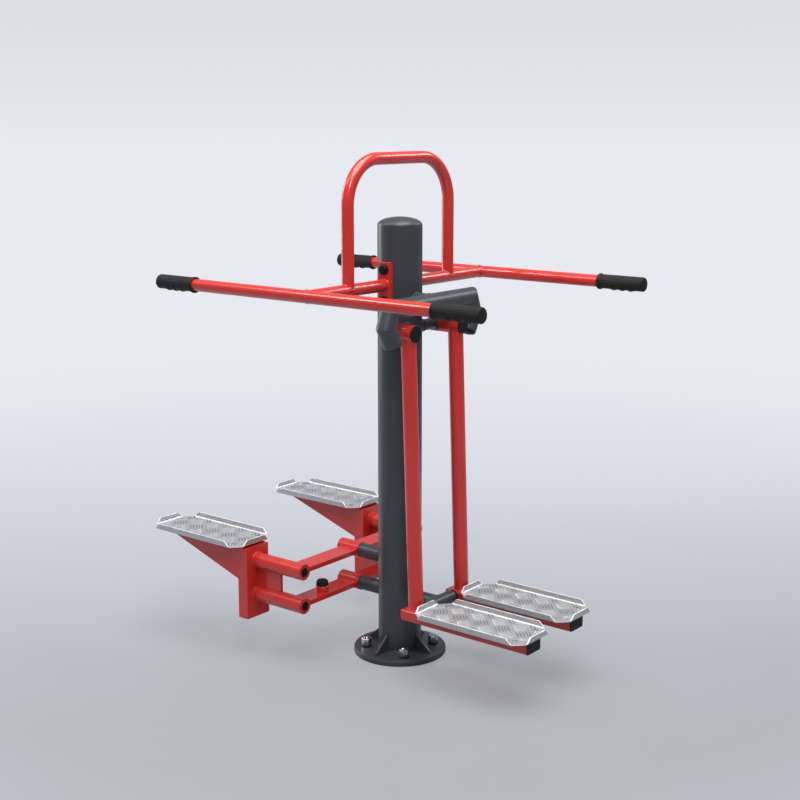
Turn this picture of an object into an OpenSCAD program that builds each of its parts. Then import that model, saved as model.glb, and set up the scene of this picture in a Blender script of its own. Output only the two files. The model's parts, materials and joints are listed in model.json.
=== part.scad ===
// Outdoor gym station on one post: a leg abductor on one side and a stepper on the other.
// +X points from the post to the abductor's foot plates, +Y is the left side and +Z is up.
// The origin is the centre of the base plate's underside. Lengths are in millimetres.

/* [Post and base] */
// Outside diameter of the post
post_d = 140; // [130:1:150]
// Wall of the post tube
post_wall = 5; // [3:0.5:8]
// Height of the top of the domed post cap
post_top = 1400; // [1340:5:1500]
// Rise of the post cap's dome
cap_rise = 12; // [8:1:20]
// Depth of the cap's skirt inside the post
cap_skirt = 30; // [15:1:60]
// Diameter of the round base plate
base_d = 300; // [280:1:340]
// Thickness of the base plate
base_t = 18; // [12:1:25]
// Diameter of the anchor bolt circle
anchor_circle = 220; // [205:1:235]
// Diameter of the anchor holes
anchor_hole_d = 18; // [14:0.5:22]
// Number of anchor holes
anchor_count = 4; // [4:2:8]
// Height of the gussets above the base plate
gusset_h = 52; // [30:1:80]
// Reach of the gussets from the post
gusset_reach = 54; // [30:1:60]
// Thickness of the gussets
gusset_t = 8; // [5:1:12]
// Height of a gusset's square toe
gusset_toe = 6; // [3:1:12]

/* [Handle frame] */
// Height of the post's top above the handle tubes' centre lines
handle_drop = 189; // [150:1:240]
// Outside diameter of the handle frame's tubes
frame_d = 38; // [32:1:42]
// Wall of the handle frame's tubes
frame_wall = 3; // [2:0.5:4]
// Distance from the middle to each handle tube
handle_y = 432; // [400:1:460]
// Distance from the middle to the end of each grip
grip_end = 620; // [600:1:650]
// Length of a grip, collar included
grip_len = 160; // [140:1:190]
// Diameter of a grip
grip_d = 43; // [42.5:0.5:48]
// Diameter of a grip's collar
grip_collar_d = 50; // [49:0.5:56]
// Thickness of a grip's collar
grip_collar_t = 9; // [5:0.5:12]
// Thickness of a grip's closed end
grip_end_wall = 8; // [5:0.5:12]
// Depth of the finger hollows under a grip
finger_depth = 1.8; // [0.8:0.1:2]
// Spacing of the finger hollows
finger_pitch = 30; // [24:1:33]
// Distance from the middle to each leg of the hoop
hoop_y = 248; // [220:1:280]
// Rise of the hoop's top centre line above the handle tubes
hoop_rise = 385; // [300:1:480]
// Centre line radius of the hoop's bends
hoop_bend = 138; // [80:1:180]

/* [Clamp] */
// Width of a clamp saddle
saddle_w = 48; // [42:1:60]
// Height of a clamp saddle
saddle_h = 143; // [136:1:160]
// Thickness of a saddle at the post's side
saddle_t = 8; // [6:0.5:12]
// Spacing of the two clamp rods
rod_pitch = 99; // [90:1:102]
// Diameter of a clamp rod
rod_d = 16; // [12:1:18]
// Play around a clamp rod
rod_play = 0.5; // [0.2:0.1:0.8]
// Diameter of a clamp rod's cap
rod_cap_d = 32; // [26:1:34]
// Height of a clamp rod's cap
rod_cap_h = 14; // [10:1:18]

/* [Stop arch] */
// Height of the arch's top run above the leg pivots
arch_rise = 79; // [77:1:84]
// Distance of the arch in front of the post's axis
arch_x = 122.5; // [118:0.5:126]
// Diameter of the arch's tube
arch_d = 60; // [56:1:62]
// Wall of the arch's tube
arch_wall = 4; // [3:0.5:6]
// Diameter of the stub that holds the arch to the post
arch_stub_d = 57; // [48:1:58]
// Distance of the upper corners from the middle
arch_y = 198.5; // [197:0.5:203]
// Lean of the side runs, outward at the foot
arch_splay = 21; // [20:1:26]
// Length of a side run between its corners
arch_side = 56.5; // [52:0.5:60]
// Lean of the end runs, inward at the foot
arch_hook = 30; // [27:1:33]
// Length of an end run from its corner
arch_tip = 61.5; // [58:0.5:64]
// Length of a stop plug inside the tube
plug_shank = 14; // [8:1:20]

/* [Leg pivots] */
// Distance from the middle to each leg's pivot
hub_y = 120; // [117:1:122]
// Drop of the leg pivots below the handle tubes
hub_drop = 132; // [128:1:138]
// Front end of a leg hub
hub_front = 155; // [150:1:170]
// Length of a leg hub
hub_len = 77.5; // [72:0.5:84]
// Outside diameter of a leg hub
hub_d = 55; // [53:1:60]
// Bore of a leg hub
hub_bore = 42; // [40:1:44]
// Diameter of a leg pivot's shaft
shaft_d = 30; // [24:1:34]
// Length of a leg bush
leg_bush_len = 20; // [15:1:24]
// Diameter of a hub cap's lip
hub_cap_d = 52; // [48:1:53]
// Thickness of a hub cap's lip
hub_cap_t = 4; // [2:0.5:6]
// Outside diameter of the fixed pivot housing
housing_d = 54; // [50:1:58]
// Length of the fixed pivot housing
housing_len = 40; // [38:1:46]
// Diameter of the tube that carries the housing
carrier_d = 36; // [30:1:37]
// Outward swing of a leg, where its stop plug holds it
leg_swing = 35; // [33:0.5:37]

/* [Swinging legs] */
// Outside diameter of a leg tube
leg_d = 48; // [40:1:50]
// Wall of a leg tube
leg_wall = 3; // [2:0.5:4]
// Distance from the post's axis to a leg's top
leg_top_x = 128; // [124:1:130]
// Distance from the post's axis to a leg's foot
leg_foot_x = 160; // [154:1:170]
// Width of a pedal tube
pedal_w = 70; // [60:1:80]
// Height of a pedal tube
pedal_h = 35; // [30:1:40]
// Wall of a pedal tube
pedal_wall = 3; // [2:0.5:4]
// Corner radius of a pedal tube
pedal_round = 6; // [4.5:0.5:8]
// Height of the pedal tubes' centre lines
pedal_z = 195; // [180:1:210]
// Rear end of a pedal tube
pedal_rear = 126; // [120:1:130]
// Length of a pedal tube, without its plugs
pedal_len = 469; // [440:1:480]
// Thickness of a pedal plug's lip
pedal_plug_t = 3; // [2:0.5:5]
// Length of a pedal plug's shank
pedal_plug_shank = 20; // [10:1:30]
// Distance from a pedal tube's front end back to the middle of its foot plate
plate_setback = 190; // [186:1:196]

/* [Inner bumper] */
// Height of the bumper
bumper_z = 197; // [192:1:202]
// Distance from the post's axis to the bumper's cross tube
bumper_x = 155; // [152:1:165]
// Outside diameter of the bumper's tubes
bumper_d = 46; // [40:1:48]
// Wall of the bumper's tubes
bumper_wall = 3; // [2:0.5:5]
// Length of a rubber end beyond the cross tube
bumper_rubber = 16; // [10:1:22]
// Diameter of a rubber end
bumper_rubber_d = 42; // [41:0.5:44]

/* [Foot plates] */
// Length of a foot plate
plate_len = 412; // [390:1:425]
// Width of a foot plate
plate_w = 182; // [170:1:190]
// Thickness of a foot plate's sheet
plate_t = 3.5; // [2:0.5:5]
// Height of the turned-up edges, from the sheet's underside
plate_edge_h = 20; // [14:1:26]
// Size of a foot plate's cut corners
plate_corner = 36; // [28:1:42]
// Outward lean of the turned-up edges
plate_lean = 5; // [0:1:12]
// Inside radius of the folds
fold_in = 1.5; // [1:0.5:5]
// Screw spacing along a foot plate
screw_pitch_x = 326; // [300:1:332]
// Screw spacing across a foot plate
screw_pitch_y = 114; // [100:1:120]
// Diameter of the screw holes
screw_hole_d = 8.5; // [6:0.5:10]
// Width of the bars under a foot plate
bar_w = 40; // [30:1:50]
// Thickness of the bars under a foot plate
bar_t = 6; // [4:0.5:8]
// Length of the bars under a foot plate
bar_len = 130; // [126:1:132]

/* [Rockers] */
// Height of the upper rocker's pivot
upper_z = 310; // [308:0.5:314]
// Height of the lower rocker's pivot
lower_z = 198; // [195:0.5:201]
// Distance from the middle to the pedals' pivots
arm_y = 291; // [280:1:300]
// Width of a rocker's flat bar
arm_w = 70; // [60:1:74]
// Thickness of a rocker's flat bar
arm_t = 15; // [10:1:20]
// Outside diameter of the rockers' pivot tubes
pivot_d = 52; // [48:1:54]
// Bore of the rockers' pivot tubes
pivot_bore = 30; // [28:1:34]
// Diameter of the pivot pins
pin_d = 20; // [16:1:22]
// Length of a rocker bush
pivot_bush_len = 22; // [15:1:24]
// Distance from the post's axis to the front of a rocker's hub
rocker_front = 161; // [150:1:170]
// Length of a rocker's hub
rocker_hub_len = 87; // [84:1:92]
// Distance from the post's axis to the front of a rocker's outer tubes
outer_front = 153; // [150:1:157]
// Length of a rocker's outer tubes
outer_len = 98; // [96:0.5:103]
// Outside diameter of the axle tubes on the post
axle_d = 47; // [40:1:50]
// Depth of a pivot cap inside its bore
pivot_cap_depth = 6; // [4:0.5:7]
// Rise of a pivot cap's face
pivot_cap_rise = 1.5; // [0.5:0.5:3]
// Distance from the middle to a rubber stop
stop_y = 160; // [140:1:200]
// Diameter of a rubber stop's cup
stop_cup_d = 34; // [30:1:40]
// Height of a rubber stop's cup
stop_cup_h = 22; // [16:1:26]
// Wall of a rubber stop's cup
stop_cup_wall = 2; // [1.5:0.5:3]
// Height of a rubber stop above its cup
stop_dome_h = 22; // [17:1:26]

/* [Stepper pedals] */
// Distance from the post's axis to the front of a pedal bracket
bracket_front = 359; // [357:1:364]
// Depth of a pedal bracket's column
bracket_depth = 40; // [36:1:50]
// Width of a pedal bracket
bracket_w = 100; // [80:1:110]
// Height of a pedal bracket's lower end
bracket_foot_z = 120; // [115:1:130]
// Height of the lower corner of a pedal bracket's wedge
wedge_z = 251; // [245:1:265]
// Distance from the post's axis to the tip of the wedge
wedge_tip = 706; // [690:1:715]
// Height of the wedge's blunt tip
wedge_tip_h = 5; // [3:1:10]
// Wall of a pedal bracket
bracket_wall = 4; // [3:0.5:5]
// Thickness of the web between a bracket's pivot tubes
web_t = 8; // [5:1:12]
// Height of the stepper foot plates' underside
step_plate_z = 363.5; // [360:0.5:370]
// Distance from the post's axis to the middle of a stepper foot plate
step_plate_x = 572; // [564:1:580]
// Width of the tongue that carries the bracket's rearmost bar
spine_w = 60; // [50:1:70]

/* [Clearances] */
// Radial play of a shaft in its bushes
run_fit = 0.05; // [0.02:0.01:0.1]
// Radial play at the rockers' open lower pivots
open_fit = 0.4; // [0.3:0.05:0.6]
// Gap between the ends of pieces that turn against each other
end_gap = 0.8; // [0.3:0.1:1]
// Gap between a moving piece and the rubber that stops it
stop_gap = 0.4; // [0.3:0.1:1]

/* [Hidden] */
$fn = 96;

graphite = "#4a4d52";
red = "#c8352e";
black = "#1b1b1d";
bright = "#c9cbce";

left = 1;
right = -1;
sides = [left, right];
// Overrun of every cut beyond the faces that it opens
over = 1;

handle_z = post_top - handle_drop;
hoop_z = handle_z + hoop_rise;
hub_z = handle_z - hub_drop;
arch_z = hub_z + arch_rise;

post_r = post_d / 2;
post_rim = post_top - cap_rise;
cap_wall = 4;
cap_sphere_r = (post_r * post_r + cap_rise * cap_rise) / (2 * cap_rise);

grip_inner = grip_end - grip_len;
handle_end = grip_end - grip_end_wall;
finger_count = 4;
finger_r = 14;
finger_middle = grip_inner + grip_collar_t + (grip_len - grip_collar_t) / 2;
grip_round = 7;

saddle_face = post_r + saddle_t;
rod_levels = [handle_z - rod_pitch / 2, handle_z + rod_pitch / 2];
rod_cap_round = 8;
rod_end = saddle_face + rod_cap_h - rod_cap_round / 2;

arch_lap = 1;
arch_step = 0.2;
arch_turn = 90 - arch_splay;
knee_turn = arch_splay + arch_hook;
knee_y = arch_y + arch_side * sin(arch_splay);
knee_z = arch_z - arch_side * cos(arch_splay);
arch_end_y = knee_y - arch_tip * sin(arch_hook);
arch_end_z = knee_z - arch_tip * cos(arch_hook);
arch_bore = arch_d - arch_step - 2 * arch_wall;
plug_step = 4;
plug_head_d = arch_d - 2 * plug_step;
plug_round = 4;
stop_turn = leg_swing + arch_hook;
stop_reach = (arch_end_y - hub_y) * cos(leg_swing) - (hub_z - arch_end_z) * sin(leg_swing);
// Thickness of a plug's head, whose rounded inner edge meets the leg at its limit (about 6.8)
plug_t = plug_round + (stop_reach - plug_round - leg_d / 2 - stop_gap
    - (plug_head_d / 2 - plug_round) * cos(stop_turn)) / sin(stop_turn);

hub_rear = hub_front - hub_len;
housing_front = hub_rear - end_gap;
housing_rear = housing_front - housing_len;
carrier_x = housing_front - housing_len / 2;
carrier_wall = 4;
hub_cap_shank = 8;
washer_t = 4;
washer_play = 1.5;
leg_washer_d = hub_bore - 2 * washer_play;
shaft_head_gap = 5;
leg_washer_front = hub_front - hub_cap_shank - shaft_head_gap;
leg_bush_front = leg_washer_front - washer_t - end_gap;
leg_bush_rear = hub_rear;
socket_floor = 6;
shaft_rear = housing_rear + socket_floor;

pedal_top = pedal_z + pedal_h / 2;
leg_lean = atan((leg_foot_x - leg_top_x) / (hub_z - pedal_top));
leg_len = norm([leg_foot_x - leg_top_x, hub_z - pedal_top]);
swing_plate_x = pedal_rear + pedal_len - plate_setback;
swing_plate_z = pedal_top + bar_t;

bumper_reach = hub_y - pedal_w / 2 - stop_gap;
bumper_half = bumper_reach - bumper_rubber;
bumper_shank = 14;
bumper_round = 4;

fold_out = fold_in + plate_t;
fold_turn = 90 - plate_lean;
fold_rise = plate_edge_h - fold_out + fold_out * sin(plate_lean);
edge_len = fold_rise / cos(plate_lean);
fold_steps = 6;

rocker_pitch = upper_z - lower_z;
arm_rear = rocker_front + arm_w;
hub_end = rocker_front + rocker_hub_len;
outer_end = outer_front + outer_len;
pin_washer_d = pivot_bore - 2 * washer_play;
shaft_end = hub_end - pivot_cap_depth - shaft_head_gap;
pin_end = outer_front + pivot_cap_depth + shaft_head_gap;
axle_end = rocker_front - end_gap;
shaft_socket = 60;
shaft_root = axle_end - shaft_socket;
arm_middle = rocker_front + arm_w / 2;
stop_recess = 6;
stop_d = stop_cup_d - 2 * stop_cup_wall;
dome_flat = 1;

bracket_tube_front = outer_end + end_gap;
bracket_rear = bracket_front + bracket_depth;
bracket_top = step_plate_z - bar_t;
wedge_slope = (bracket_top - wedge_tip_h - wedge_z) / (wedge_tip - bracket_rear);
wedge_skin = bracket_wall * norm([1, wedge_slope]);
wedge_inner_tip = bracket_rear + (bracket_top - bracket_wall - wedge_z - wedge_skin) / wedge_slope;
spine_end = step_plate_x + screw_pitch_x / 2 + bar_w / 2;

// Children on the left side, or mirrored to the right side
module on_side(side) {
    if (side == left) children();
    else mirror([0, 1, 0]) children();
}

// Turns a solid that stands on +Z so that it runs along +X
module along_x() { rotate([0, 90, 0]) children(); }

// Turns a solid that stands on +Z so that it runs along -X
module along_minus_x() { rotate([0, -90, 0]) children(); }

// Turns a solid that stands on +Z so that it runs along +Y
module along_y() { rotate([-90, 0, 0]) children(); }

// Turns a flat outline into the YZ plane, extruded towards +X
module across_x() { rotate([90, 0, 90]) children(); }

module tube(d, wall, len) {
    difference() {
        cylinder(d = d, h = len);
        translate([0, 0, -over]) cylinder(d = d - 2 * wall, h = len + 2 * over);
    }
}

// Solid cylinder of the post's size, which copes what is welded to it
module post_cope() { cylinder(d = post_d, h = post_top); }

// Disc with a rounded upper rim, standing on z = 0
module round_button(d, h, r) {
    rotate_extrude() {
        square([d / 2 - r, h]);
        square([d / 2, h - r]);
        translate([d / 2 - r, h - r]) intersection() {
            circle(r = r);
            square(r);
        }
    }
}

// Rectangle with round corners, about the origin
module round_rect(w, h, r) {
    square([w - 2 * r, h], center = true);
    square([w, h - 2 * r], center = true);
    for (x = [-1, 1], y = [-1, 1])
        translate([x * (w / 2 - r), y * (h / 2 - r)]) circle(r = r);
}

module base_plate() {
    color(graphite) difference() {
        cylinder(d = base_d, h = base_t);
        for (i = [0 : anchor_count - 1])
            rotate((i + 0.5) * 360 / anchor_count) translate([anchor_circle / 2, 0, -over])
                cylinder(d = anchor_hole_d, h = base_t + 2 * over);
    }
}

module base_gussets() {
    gusset_outline = [[0, 0], [post_r + gusset_reach, 0], [post_r + gusset_reach, gusset_toe],
        [post_r, gusset_h], [0, gusset_h]];
    color(graphite) difference() {
        for (turn = [0, 90, 180, 270])
            rotate(turn) translate([0, gusset_t / 2, base_t]) rotate([90, 0, 0])
                linear_extrude(gusset_t) polygon(gusset_outline);
        post_cope();
    }
}

module rod_bores() {
    for (z = rod_levels)
        translate([0, -saddle_face - over, z]) along_y()
            cylinder(d = rod_d + 2 * rod_play, h = 2 * (saddle_face + over));
}

module post() {
    color(graphite) difference() {
        translate([0, 0, base_t]) tube(post_d, post_wall, post_rim - base_t);
        rod_bores();
    }
}

module post_cap() {
    color(graphite) {
        rotate_extrude() intersection() {
            translate([0, post_top - cap_sphere_r]) circle(r = cap_sphere_r, $fn = 4 * $fn);
            translate([0, post_rim]) square([post_r, cap_rise]);
        }
        translate([0, 0, post_rim - cap_skirt]) tube(post_d - 2 * post_wall, cap_wall, cap_skirt);
    }
}

module saddle(side) {
    color(red) on_side(side) difference() {
        translate([-saddle_w / 2, 0, handle_z - saddle_h / 2]) cube([saddle_w, saddle_face, saddle_h]);
        post_cope();
        rod_bores();
    }
}

module clamp_rods() {
    color(bright) for (z = rod_levels)
        translate([0, -rod_end, z]) along_y() cylinder(d = rod_d, h = 2 * rod_end);
}

module clamp_caps() {
    color(black) for (side = sides, z = rod_levels)
        on_side(side) difference() {
            translate([0, saddle_face, z]) along_y() round_button(rod_cap_d, rod_cap_h, rod_cap_round);
            translate([0, 0, z]) along_y() cylinder(d = rod_d, h = rod_end);
        }
}

module cross_tube(side) {
    color(red) on_side(side) difference() {
        translate([0, saddle_face, handle_z]) along_y() tube(frame_d, frame_wall, handle_y - saddle_face);
        translate([-frame_d, handle_y, handle_z]) along_x() cylinder(d = frame_d, h = 2 * frame_d);
    }
}

module handle_tube(side) {
    color(red) on_side(side) translate([-handle_end, handle_y, handle_z])
        along_x() tube(frame_d, frame_wall, 2 * handle_end);
}

// Inverted U through the hoop's centre line, as a solid of diameter d
module hoop_path(d) {
    for (side = sides) on_side(side) {
        translate([0, hoop_y, handle_z]) cylinder(d = d, h = hoop_z - hoop_bend - handle_z);
        translate([0, hoop_y - hoop_bend, hoop_z - hoop_bend]) across_x()
            rotate_extrude(angle = 90) translate([hoop_bend, 0]) circle(d = d);
    }
    translate([0, hoop_bend - hoop_y, hoop_z]) along_y() cylinder(d = d, h = 2 * (hoop_y - hoop_bend));
}

module hoop() {
    color(red) difference() {
        hoop_path(frame_d);
        hoop_path(frame_d - 2 * frame_wall);
        translate([0, -handle_y, handle_z]) along_y() cylinder(d = frame_d, h = 2 * handle_y);
    }
}

// Closed rubber grip with a collar and finger hollows; end is 1 for the front and -1 for the rear
module grip(side, end) {
    color(black) on_side(side) mirror([end < 0 ? 1 : 0, 0, 0]) difference() {
        translate([grip_inner, handle_y, handle_z]) along_x() {
            round_button(grip_d, grip_len, grip_round);
            cylinder(d = grip_collar_d, h = grip_collar_t);
        }
        translate([grip_inner - over, handle_y, handle_z]) along_x()
            cylinder(d = frame_d, h = handle_end - grip_inner + over);
        for (i = [0 : finger_count - 1])
            translate([finger_middle + (i - (finger_count - 1) / 2) * finger_pitch, handle_y - grip_d,
                handle_z - grip_d / 2 - finger_r + finger_depth])
                along_y() cylinder(r = finger_r, h = 2 * grip_d);
    }
}

// Mitred elbow of two solid cylinders about the origin, its joint on z = 0, turning towards +Y
module elbow(d, turn, before, after) {
    lead = d / 2 * tan(turn / 2) + over;
    block = 2 * (before + after + d);
    intersection() {
        rotate([turn / 2, 0, 0]) translate([0, 0, -before]) cylinder(d = d, h = before + lead);
        translate([-block / 2, -block / 2, -block]) cube(block);
    }
    intersection() {
        rotate([-turn / 2, 0, 0]) translate([0, 0, -lead]) cylinder(d = d, h = after + lead);
        translate([-block / 2, -block / 2, 0]) cube(block);
    }
}

// Mitred arch as a solid of diameter d, its ends longer by extra
module arch_shape(d, extra) {
    for (side = sides) on_side(side) {
        translate([arch_x, arch_y, arch_z]) rotate([-90 - arch_turn / 2, 0, 0])
            elbow(d, arch_turn, arch_d, arch_side / 2 + arch_lap);
        translate([arch_x, knee_y, knee_z]) rotate([180 + (arch_splay - arch_hook) / 2, 0, 0])
            elbow(d - arch_step, knee_turn, arch_side / 2, arch_tip + extra);
    }
    translate([arch_x, arch_d - arch_y - arch_lap, arch_z]) along_y()
        cylinder(d = d - arch_step, h = 2 * (arch_y - arch_d + arch_lap));
}

module stop_arch() {
    color(graphite) difference() {
        union() {
            arch_shape(arch_d, 0);
            translate([0, 0, arch_z]) along_x() cylinder(d = arch_stub_d, h = arch_x);
        }
        arch_shape(arch_d - 2 * arch_wall, over);
        translate([0, 0, arch_z]) along_x()
            cylinder(d = arch_stub_d - 2 * arch_wall, h = arch_x);
        post_cope();
    }
}

// Places children at the left end of the arch, with +Z along the tube's outward end
module at_arch_end() {
    translate([arch_x, arch_end_y, arch_end_z]) rotate([180 - arch_hook, 0, 0]) children();
}

module stop_plugs() {
    color(black) for (side = sides) on_side(side) at_arch_end() {
        round_button(plug_head_d, plug_t, plug_round);
        translate([0, 0, -plug_shank]) cylinder(d = arch_bore, h = plug_shank);
    }
}

module axle_carrier(side) {
    color(graphite) on_side(side) difference() {
        union() {
            translate([carrier_x, 0, hub_z]) along_y() cylinder(d = carrier_d, h = hub_y);
            translate([housing_rear, hub_y, hub_z]) along_x() cylinder(d = housing_d, h = housing_len);
        }
        translate([carrier_x, 0, hub_z]) along_y()
            cylinder(d = carrier_d - 2 * carrier_wall, h = hub_y - housing_d / 2);
        translate([shaft_rear, hub_y, hub_z]) along_x() cylinder(d = shaft_d, h = housing_len);
        post_cope();
    }
}

module leg_shafts() {
    color(bright) for (side = sides) on_side(side) translate([0, hub_y, hub_z]) along_x() {
        translate([0, 0, shaft_rear]) cylinder(d = shaft_d, h = leg_washer_front - shaft_rear);
        translate([0, 0, leg_washer_front - washer_t]) cylinder(d = leg_washer_d, h = washer_t);
    }
}

module bumper_frame() {
    color(graphite) difference() {
        union() {
            translate([0, 0, bumper_z]) along_x() cylinder(d = bumper_d, h = bumper_x);
            translate([bumper_x, -bumper_half, bumper_z]) along_y()
                cylinder(d = bumper_d, h = 2 * bumper_half);
        }
        translate([0, 0, bumper_z]) along_x()
            cylinder(d = bumper_d - 2 * bumper_wall, h = bumper_x - bumper_d / 2);
        translate([bumper_x, -bumper_half - over, bumper_z]) along_y()
            cylinder(d = bumper_d - 2 * bumper_wall, h = 2 * (bumper_half + over));
        post_cope();
    }
}

module bumper_ends() {
    color(black) for (side = sides) on_side(side)
        translate([bumper_x, bumper_half, bumper_z]) along_y() {
            round_button(bumper_rubber_d, bumper_rubber, bumper_round);
            translate([0, 0, -bumper_shank])
                cylinder(d = bumper_d - 2 * bumper_wall, h = bumper_shank);
        }
}

module rocker_axle(z) {
    color(graphite) difference() {
        translate([0, 0, z]) along_minus_x() cylinder(d = axle_d, h = axle_end);
        translate([-shaft_root, 0, z]) along_minus_x() cylinder(d = pin_d, h = axle_end);
        post_cope();
    }
}

module rocker_shafts() {
    color(bright) for (z = [upper_z, lower_z]) translate([0, 0, z]) along_minus_x() {
        translate([0, 0, shaft_root]) cylinder(d = pin_d, h = shaft_end - shaft_root);
        translate([0, 0, shaft_end - washer_t]) cylinder(d = pin_washer_d, h = washer_t);
    }
}

// Hub and hanging tube of one swinging leg
module leg(side) {
    color(red) on_side(side) difference() {
        union() {
            translate([hub_rear, hub_y, hub_z]) along_x() cylinder(d = hub_d, h = hub_len);
            translate([leg_top_x, hub_y, hub_z]) rotate([0, 180 - leg_lean, 0])
                cylinder(d = leg_d, h = leg_len + leg_d);
        }
        translate([leg_top_x, hub_y, hub_z]) rotate([0, 180 - leg_lean, 0]) translate([0, 0, hub_d / 2])
            cylinder(d = leg_d - 2 * leg_wall, h = leg_len + leg_d);
        translate([hub_rear - over, hub_y, hub_z]) along_x()
            cylinder(d = hub_bore, h = hub_len + 2 * over);
        translate([leg_foot_x - 2 * leg_d, hub_y - leg_d, pedal_top - 2 * leg_d])
            cube([4 * leg_d, 2 * leg_d, 2 * leg_d]);
    }
}

// Ring that fills a bore of diameter d around a shaft, with its lower face at z
module bush(d, shaft, play, len, z) {
    translate([0, 0, z]) difference() {
        cylinder(d = d, h = len);
        translate([0, 0, -over]) cylinder(d = shaft + 2 * play, h = len + 2 * over);
    }
}

module leg_bushes(side) {
    color(black) on_side(side) translate([0, hub_y, hub_z]) along_x()
        for (x = [leg_bush_rear, leg_bush_front - leg_bush_len])
            bush(hub_bore, shaft_d, run_fit, leg_bush_len, x);
}

module hub_cap(side) {
    color(black) on_side(side) translate([hub_front, hub_y, hub_z]) along_x() {
        round_button(hub_cap_d, hub_cap_t, hub_cap_t / 2);
        translate([0, 0, -hub_cap_shank]) cylinder(d = hub_bore, h = hub_cap_shank);
    }
}

module pedal_tube(side) {
    color(red) on_side(side) difference() {
        union() {
            translate([pedal_rear, hub_y, pedal_z]) across_x() linear_extrude(pedal_len)
                round_rect(pedal_w, pedal_h, pedal_round);
            for (end = [-1, 1])
                translate([swing_plate_x + end * screw_pitch_x / 2 - bar_w / 2, hub_y - bar_len / 2,
                    pedal_top]) cube([bar_w, bar_len, bar_t]);
        }
        translate([pedal_rear - over, hub_y, pedal_z]) across_x() linear_extrude(pedal_len + 2 * over)
            round_rect(pedal_w - 2 * pedal_wall, pedal_h - 2 * pedal_wall, pedal_round - pedal_wall);
    }
}

module pedal_plugs(side) {
    color(black) on_side(side) for (end = [0, 1])
        translate([pedal_rear + end * pedal_len, hub_y, pedal_z]) mirror([1 - end, 0, 0]) across_x() {
            linear_extrude(pedal_plug_t) round_rect(pedal_w, pedal_h, pedal_round);
            translate([0, 0, -pedal_plug_shank]) linear_extrude(pedal_plug_shank)
                round_rect(pedal_w - 2 * pedal_wall, pedal_h - 2 * pedal_wall, pedal_round - pedal_wall);
        }
}

// Arc of radius r about the fold's centre, from the floor up to the end of the bend
function fold_arc(r, steps) = [for (i = [0 : steps])
    [r * sin(i * fold_turn / steps) - fold_out, fold_out - r * cos(i * fold_turn / steps)]];

// Section of a turned-up edge, with the sheet's floor on its left and the fold's outer side at zero
module fold_section() {
    rise = [edge_len * sin(plate_lean), edge_len * cos(plate_lean)];
    outer = fold_arc(fold_out, fold_steps);
    inner = fold_arc(fold_in, fold_steps);
    polygon(concat(outer, [outer[fold_steps] + rise, inner[fold_steps] + rise],
        [for (i = [fold_steps : -1 : 0]) inner[i]]));
}

// One turned-up edge along Y with 45 degree ends, its fold line on x = 0
module plate_edge(span) {
    edge_slope = plate_edge_h - plate_t;
    intersection() {
        translate([0, span / 2, 0]) rotate([90, 0, 0]) linear_extrude(span) fold_section();
        translate([-2 * fold_out, 0, 0]) across_x() linear_extrude(4 * fold_out)
            polygon([[-span / 2, 0], [span / 2, 0], [span / 2, plate_t],
                [span / 2 - edge_slope, plate_edge_h], [edge_slope - span / 2, plate_edge_h],
                [-span / 2, plate_t]]);
    }
}

// Tray-shaped foot plate about the origin, with its underside on z = 0
module foot_plate() {
    a = plate_len / 2;
    b = plate_w / 2;
    quarter = [[a - fold_out, 0], [a - fold_out, b - plate_corner],
        [a - plate_corner, b - fold_out], [0, b - fold_out]];
    difference() {
        union() {
            linear_extrude(plate_t) for (x = [0, 1], y = [0, 1])
                mirror([x, 0]) mirror([0, y]) polygon(concat([[0, 0]], quarter));
            for (turn = [0, 180]) rotate(turn) {
                translate([a, 0, 0]) plate_edge(plate_w - 2 * plate_corner);
                translate([0, b, 0]) rotate(90) plate_edge(plate_len - 2 * plate_corner);
            }
        }
        for (x = [-1, 1], y = [-1, 1])
            translate([x * screw_pitch_x / 2, y * screw_pitch_y / 2, -over])
                cylinder(d = screw_hole_d, h = plate_t + 2 * over);
    }
}

module swing_plate(side) {
    color(bright) on_side(side) translate([swing_plate_x, hub_y, swing_plate_z]) foot_plate();
}

// Flat bar, middle hub and two outer tubes of a rocker whose pivot is at height z
module rocker(z) {
    color(red) translate([0, 0, z]) difference() {
        union() {
            translate([-arm_rear, -arm_y, -arm_t / 2]) cube([arm_w, 2 * arm_y, arm_t]);
            translate([-rocker_front, 0, 0]) along_minus_x() cylinder(d = pivot_d, h = rocker_hub_len);
            for (side = sides) translate([-outer_front, side * arm_y, 0]) along_minus_x()
                cylinder(d = pivot_d, h = outer_len);
        }
        for (y = [-arm_y, 0, arm_y]) translate([over - outer_front, y, 0]) along_minus_x()
            cylinder(d = pivot_bore, h = outer_len + 2 * over);
    }
}

module rocker_bushes(z, outer_play) {
    color(black) translate([0, 0, z]) {
        along_minus_x() for (x = [rocker_front, shaft_end - washer_t - end_gap - pivot_bush_len])
            bush(pivot_bore, pin_d, run_fit, pivot_bush_len, x);
        for (side = sides) translate([0, side * arm_y, 0]) along_minus_x()
            for (x = [pin_end + washer_t + end_gap, outer_end - pivot_bush_len])
                bush(pivot_bore, pin_d, outer_play, pivot_bush_len, x);
    }
}

// Black plug of a pivot bore, with its face at z = 0 and a slightly raised middle
module pivot_cap() {
    translate([0, 0, -pivot_cap_depth])
        round_button(pivot_bore, pivot_cap_depth + pivot_cap_rise, pivot_cap_rise);
}

module rocker_caps(z) {
    color(black) translate([0, 0, z]) {
        translate([-hub_end, 0, 0]) along_minus_x() pivot_cap();
        for (side = sides) translate([-outer_front, side * arm_y, 0]) along_x() pivot_cap();
    }
}

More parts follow.
